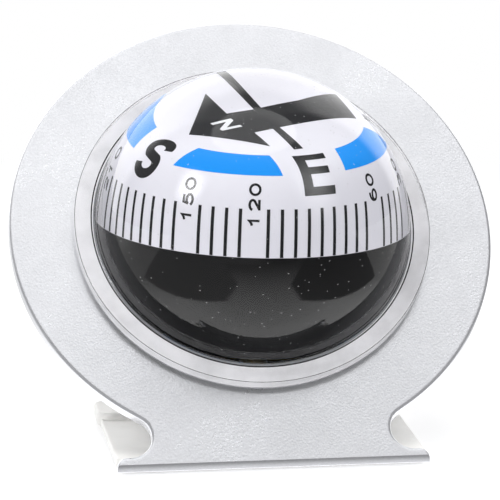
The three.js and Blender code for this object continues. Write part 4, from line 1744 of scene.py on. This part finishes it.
@dataclass(frozen=True)
class Lamp:
    """A soft rectangular lamp that faces the compass, by direction, distance and brightness."""

    name: str
    azimuth: float
    elevation: float
    distance: float
    width: float
    height: float
    radiance: float

    def build(self, target: Vector) -> None:
        """Hangs the lamp.

        Args:
            target: Where it points, in metres.
        """
        away = toward(self.azimuth, self.elevation)
        data = bpy.data.lights.new(self.name, "AREA")
        data.shape = "RECTANGLE"
        data.size, data.size_y = self.width * MM, self.height * MM
        data.energy = self.radiance * math.pi * data.size * data.size_y
        lamp = bpy.data.objects.new(self.name, data)
        lamp.location = target + away * self.distance * MM
        lamp.rotation_euler = away.to_track_quat("Z", "Y").to_euler()
        lamp.visible_glossy = False
        lamp.visible_transmission = False
        lamp.visible_camera = False
        bpy.context.scene.collection.objects.link(lamp)
        LOG.info("lamp %s", self.name)


@dataclass(frozen=True)
class Panel:
    """A bright soft-edged panel that only polished surfaces mirror, by direction and angular size."""

    azimuth: float
    elevation: float
    half_width: float
    half_height: float
    softness: float
    radiance: float

    def mask(self, wiring: Wiring, direction: Socket) -> Socket:
        """Brightness that the panel adds in a direction.

        Args:
            wiring: The world's nodes.
            direction: The direction looked into.

        Returns:
            The brightness.
        """
        middle, side = toward(self.azimuth, self.elevation), toward(self.azimuth + 90, 0)
        ahead = wiring.most(wiring.vector("DOT_PRODUCT", direction, middle).outputs["Value"], 0.01)
        parts = []
        for axis, half in ((side, self.half_width), (middle.cross(side), self.half_height)):
            across = wiring.vector("DOT_PRODUCT", direction, axis).outputs["Value"]
            offset = wiring.math("ABSOLUTE", wiring.math("DIVIDE", across, ahead))
            edge = math.tan(math.radians(half))
            low, high = edge * (1 - self.softness), edge * (1 + self.softness)
            parts.append(wiring.ramp(offset, low, high, 1.0, 0.0))
        return wiring.times(wiring.times(parts[0], parts[1]), self.radiance)


@dataclass(frozen=True)
class Surroundings:
    """What shows in glossy surfaces: a bright ceiling, a dim room in front, a bright one behind, panels."""

    ceiling_deg: float = 63.5
    ceiling: float = 2.35
    ceiling_high: float = 1.62
    ceiling_edge: Pair = (-1.2, 1.2)
    ceiling_fade: Pair = (2.0, 14.0)
    ceiling_turn: Pair = (60, 150)
    room: float = 0.5
    room_right: float = 0.22
    room_turn: Pair = (60, 105)
    behind_side: Pair = (-60, 60)
    behind_left: float = 2.1
    behind_right: float = 1.8
    behind_high: float = 0.15
    behind_turn: Pair = (118, 130)
    behind_fade: Pair = (44, 62)
    behind_rise: float = 10.5
    second_hand: float = 1.3
    front: float = 0.3
    front_fade: Pair = (0.0, 16.0)
    panels: tuple[Panel, ...] = (
        Panel(-62, 32, 6.5, 7.5, 1.0, 14.0),
        Panel(47, 33, 10, 13, 1.0, 4.5),
    )

    def level(self, wiring: Wiring, direction: Socket) -> Socket:
        """Brightness of the surroundings in a direction.

        Args:
            wiring: The world's nodes.
            direction: The direction looked into.

        Returns:
            The brightness.
        """
        x, y, z = wiring.parts(direction)
        rise = wiring.times(wiring.math("ARCSINE", z), 180 / math.pi)
        turn = wiring.times(wiring.math("ARCTAN2", x, wiring.times(y, -1.0)), 180 / math.pi)
        spread = wiring.math("ABSOLUTE", turn)
        behind = wiring.ramp(turn, *self.behind_side, self.behind_left, self.behind_right)
        behind = wiring.times(wiring.ramp(spread, *self.behind_turn), behind)
        behind = wiring.times(wiring.ramp(rise, *self.behind_fade, 1.0, self.behind_high), behind)
        room = wiring.ramp(turn, *self.room_turn, self.room, self.room_right)
        upper = wiring.plus(behind, wiring.ramp(rise, *self.front_fade, self.front, room))
        edge = wiring.ramp(spread, *self.ceiling_turn, self.ceiling_deg, self.ceiling_deg + self.behind_rise)
        over = wiring.minus(rise, edge)
        ceiling = wiring.ramp(over, *self.ceiling_fade, self.ceiling, self.ceiling_high)
        upper = wiring.mix(wiring.ramp(over, *self.ceiling_edge), upper, ceiling)
        path = wiring.node("ShaderNodeLightPath").outputs
        bounces = wiring.plus(path["Glossy Depth"], path["Transmission Depth"])
        mirrored = wiring.times(path["Is Singular Ray"], wiring.math("LESS_THAN", bounces, 1.5))
        for panel in self.panels:
            upper = wiring.scaled(panel.mask(wiring, direction), mirrored, upper)
        return upper


@dataclass(frozen=True)
class Table:
    """How the pale floor looks in glossy surfaces: bright by the foot, darker to both sides and far off."""

    foot_y: float = -23.0
    bright: float = 1.95
    fade: float = 40.0
    side: Pair = (20, 75)
    side_share: float = 0.42
    least: float = 0.28
    strip_half: float = 18.0
    strip_edge: float = 2.0
    strip_spread: float = 0.7
    strip_turn: float = -60.0
    strip_end: Pair = (-122.0, -102.0)
    edge_y: float = -38.0
    edge_x: float = 22.0
    edge_slope: float = 0.72
    softness: float = 1.5
    dark_left: float = 0.36
    dark_right: float = 0.18
    dark_turn: Pair = (-25, 25)
    end_x: float = 71.0
    end_y: float = -8.0
    end_slope: float = 0.42
    beyond: float = 0.75
    beyond_from: Pair = (59.0, 67.0)
    behind_left: float = 1.0
    behind_right: float = 0.9
    behind_turn: Pair = (-60, 60)
    behind_from: Pair = (15, 60)
    lip_shade: float = 0.9
    lip_reach: float = 3.0
    second_hand: float = 0.2

    def level(self, wiring: Wiring, where: Socket) -> Socket:
        """Brightness of the floor in reflections.

        Args:
            wiring: The floor's nodes.
            where: A point on the floor, in metres.

        Returns:
            The brightness.
        """
        x, y, _ = wiring.parts(wiring.vector("MULTIPLY", where, (1 / MM, 1 / MM, 1 / MM)).outputs[0])
        across = wiring.math("ABSOLUTE", x)
        line = wiring.scaled(wiring.minus(across, self.edge_x), self.edge_slope, self.edge_y)
        beside = wiring.ramp(wiring.minus(y, line), -self.softness, self.softness)
        widen = wiring.most(wiring.minus(self.strip_turn, y), 0.0)
        margin = wiring.minus(across, wiring.scaled(widen, self.strip_spread, self.strip_half))
        strip = wiring.times(wiring.ramp(margin, -self.strip_edge, self.strip_edge, 1.0, 0.0),
                             wiring.ramp(y, *self.strip_end))
        away = wiring.most(wiring.minus(self.foot_y, y), 0.0)
        glow = wiring.math("EXPONENT", wiring.math("DIVIDE", away, -self.fade))
        glow = wiring.times(glow, wiring.ramp(away, 0.0, self.lip_reach, self.lip_shade, 1.0))
        side = wiring.ramp(across, *self.side, self.bright, self.bright * self.side_share)
        glow = wiring.most(wiring.times(glow, side), self.least)
        dark = wiring.ramp(x, *self.dark_turn, self.dark_left, self.dark_right)
        front = wiring.mix(wiring.most(beside, strip), dark, glow)
        end = wiring.scaled(wiring.minus(across, self.end_x), -self.end_slope, self.end_y)
        past = wiring.ramp(wiring.minus(y, end), -self.softness, self.softness)
        front = wiring.mix(wiring.times(past, wiring.ramp(across, *self.beyond_from)), front, self.beyond)
        behind = wiring.ramp(x, *self.behind_turn, self.behind_left, self.behind_right)
        return wiring.mix(wiring.ramp(y, *self.behind_from), front, behind)


@dataclass(frozen=True)
class Studio:
    """Plain pale floor, soft lamps, the surroundings seen in gloss, and the camera."""

    stance: Stance
    floor_colour: Rgb = (232, 232, 233)
    floor_reach: float = 3000.0
    floor_glow: float = 0.42
    floor_near: float = 90.0
    floor_far: float = 220.0
    fill: float = 0.55
    fill_low: float = 0.9
    fill_high: float = 1.15
    fill_rise: Pair = (-0.4, 0.8)
    lamps: tuple[Lamp, ...] = (
        Lamp("left_softbox", -61, 32, 620, 240, 240, 8.0),
        Lamp("right_softbox", 55, 40, 700, 190, 320, 4.0),
        Lamp("top_softbox", 20, 82, 800, 620, 620, 1.2),
        Lamp("back_softbox", 165, 35, 800, 520, 300, 4.0),
    )
    surroundings: Surroundings = field(default_factory=Surroundings)
    table: Table = field(default_factory=Table)
    camera_place: tuple[float, float, float] = (-62.440, -448.383, 116.810)
    camera_right: tuple[float, float, float] = (0.990531, -0.137284, 0.000977)
    camera_up: tuple[float, float, float] = (0.0262566, 0.196425, 0.980167)
    camera_back: tuple[float, float, float] = (-0.134753, -0.970861, 0.198169)
    camera_lens: float = 244.14
    camera_sensor: float = 36.0
    camera_clip: Pair = (0.01, 20.0)

    def build_camera(self) -> None:
        """Sets the camera where the photograph was taken from."""
        data = bpy.data.cameras.new("camera")
        data.lens, data.sensor_width, data.sensor_fit = self.camera_lens, self.camera_sensor, "HORIZONTAL"
        data.clip_start, data.clip_end = self.camera_clip
        camera = bpy.data.objects.new("camera", data)
        axes = Matrix((self.camera_right, self.camera_up, self.camera_back)).transposed().to_4x4()
        camera.matrix_world = Matrix.Translation(Vector(self.camera_place) * MM) @ axes
        bpy.context.scene.collection.objects.link(camera)
        bpy.context.scene.camera = camera
        LOG.info("camera")

    def sight(self, wiring: Wiring, second_hand: float) -> tuple[Socket, Socket, Socket]:
        """Tells how a ray comes to the floor or the world.

        Args:
            wiring: The nodes that ask.
            second_hand: Gain for what is mirrored more than once.

        Returns:
            Whether it is seen plainly, whether it is mirrored, and its gain.
        """
        path = wiring.node("ShaderNodeLightPath").outputs
        seen = wiring.most(path["Is Camera Ray"], path["Is Transmission Ray"])
        mirrored = wiring.math("GREATER_THAN", path["Glossy Depth"], 0.5)
        twice = wiring.math("GREATER_THAN", path["Glossy Depth"], 1.5)
        return seen, mirrored, wiring.scaled(twice, second_hand - 1.0, 1.0)

    def build_floor(self) -> None:
        """Lays the floor, which glows a little for the camera and in reflections, and keeps its shadow."""
        form, reach = Form(), self.floor_reach
        corners = [(-reach, -reach, 0), (reach, -reach, 0), (reach, reach, 0), (-reach, reach, 0)]
        form.mesh.faces.new(form.loop(corners))
        made = bpy.data.materials.new("pale_floor")
        wiring = wired(made)
        where = wiring.where()
        seen, mirrored, gain = self.sight(wiring, self.table.second_hand)
        cloth = wiring.node("ShaderNodeBsdfDiffuse", {"Color": linear(self.floor_colour)})
        glow = wiring.node("ShaderNodeEmission", {"Strength": wiring.times(seen, self.floor_glow)})
        both = wiring.node("ShaderNodeAddShader", {0: cloth.outputs[0], 1: glow.outputs[0]})
        away = wiring.vector("LENGTH", where).outputs["Value"]
        far = wiring.times(wiring.ramp(away, self.floor_near * MM, self.floor_far * MM), seen)
        white = wiring.node("ShaderNodeEmission", {"Strength": 1.0})
        plain = wiring.node("ShaderNodeMixShader", {0: far, 1: both.outputs[0], 2: white.outputs[0]})
        shine = wiring.times(self.table.level(wiring, where), gain)
        image = wiring.node("ShaderNodeEmission", {"Strength": shine})
        gloss = wiring.node("ShaderNodeMixShader", {0: mirrored, 1: plain.outputs[0], 2: image.outputs[0]})
        wiring.node("ShaderNodeOutputMaterial", {"Surface": gloss.outputs[0]})
        form.object("floor", Matrix.Scale(MM, 4), made, outward=False)
        LOG.info("floor")

    def build_world(self) -> None:
        """Sets an even fill, white behind the object, and soft surroundings for gloss."""
        world = bpy.data.worlds.new("studio")
        wiring = wired(world)
        seen, mirrored, gain = self.sight(wiring, self.surroundings.second_hand)
        direction = wiring.node("ShaderNodeTexCoord").outputs["Generated"]
        height = wiring.parts(direction)[2]
        room = wiring.times(self.surroundings.level(wiring, direction), gain)
        fill = wiring.ramp(height, *self.fill_rise, self.fill * self.fill_low, self.fill * self.fill_high)
        level = wiring.mix(mirrored, wiring.mix(seen, fill, 1.0), room)
        sky = wiring.node("ShaderNodeBackground", {"Strength": level})
        wiring.node("ShaderNodeOutputWorld", {"Surface": sky.outputs[0]})
        bpy.context.scene.world = world
        LOG.info("world")

    def build(self) -> None:
        """Builds the camera, the floor, the world and the lamps."""
        bpy.context.scene.view_settings.view_transform = "Standard"
        self.build_camera()
        self.build_floor()
        self.build_world()
        target = self.stance.upright() @ Vector((0, 0, 0))
        for lamp in self.lamps:
            lamp.build(target)


def main() -> None:
    """Builds the compass and its studio."""
    logging.basicConfig(level=logging.INFO, format="%(name)s: %(message)s")
    stance = Stance()
    finishes = Finishes()
    Studio(stance).build()
    Stand(stance, finishes).build()
    Housing(stance, finishes).build()
    Dial(stance, finishes).build()
    Works(finishes).build()
    bpy.context.view_layer.update()


if __name__ == "__main__":
    main()
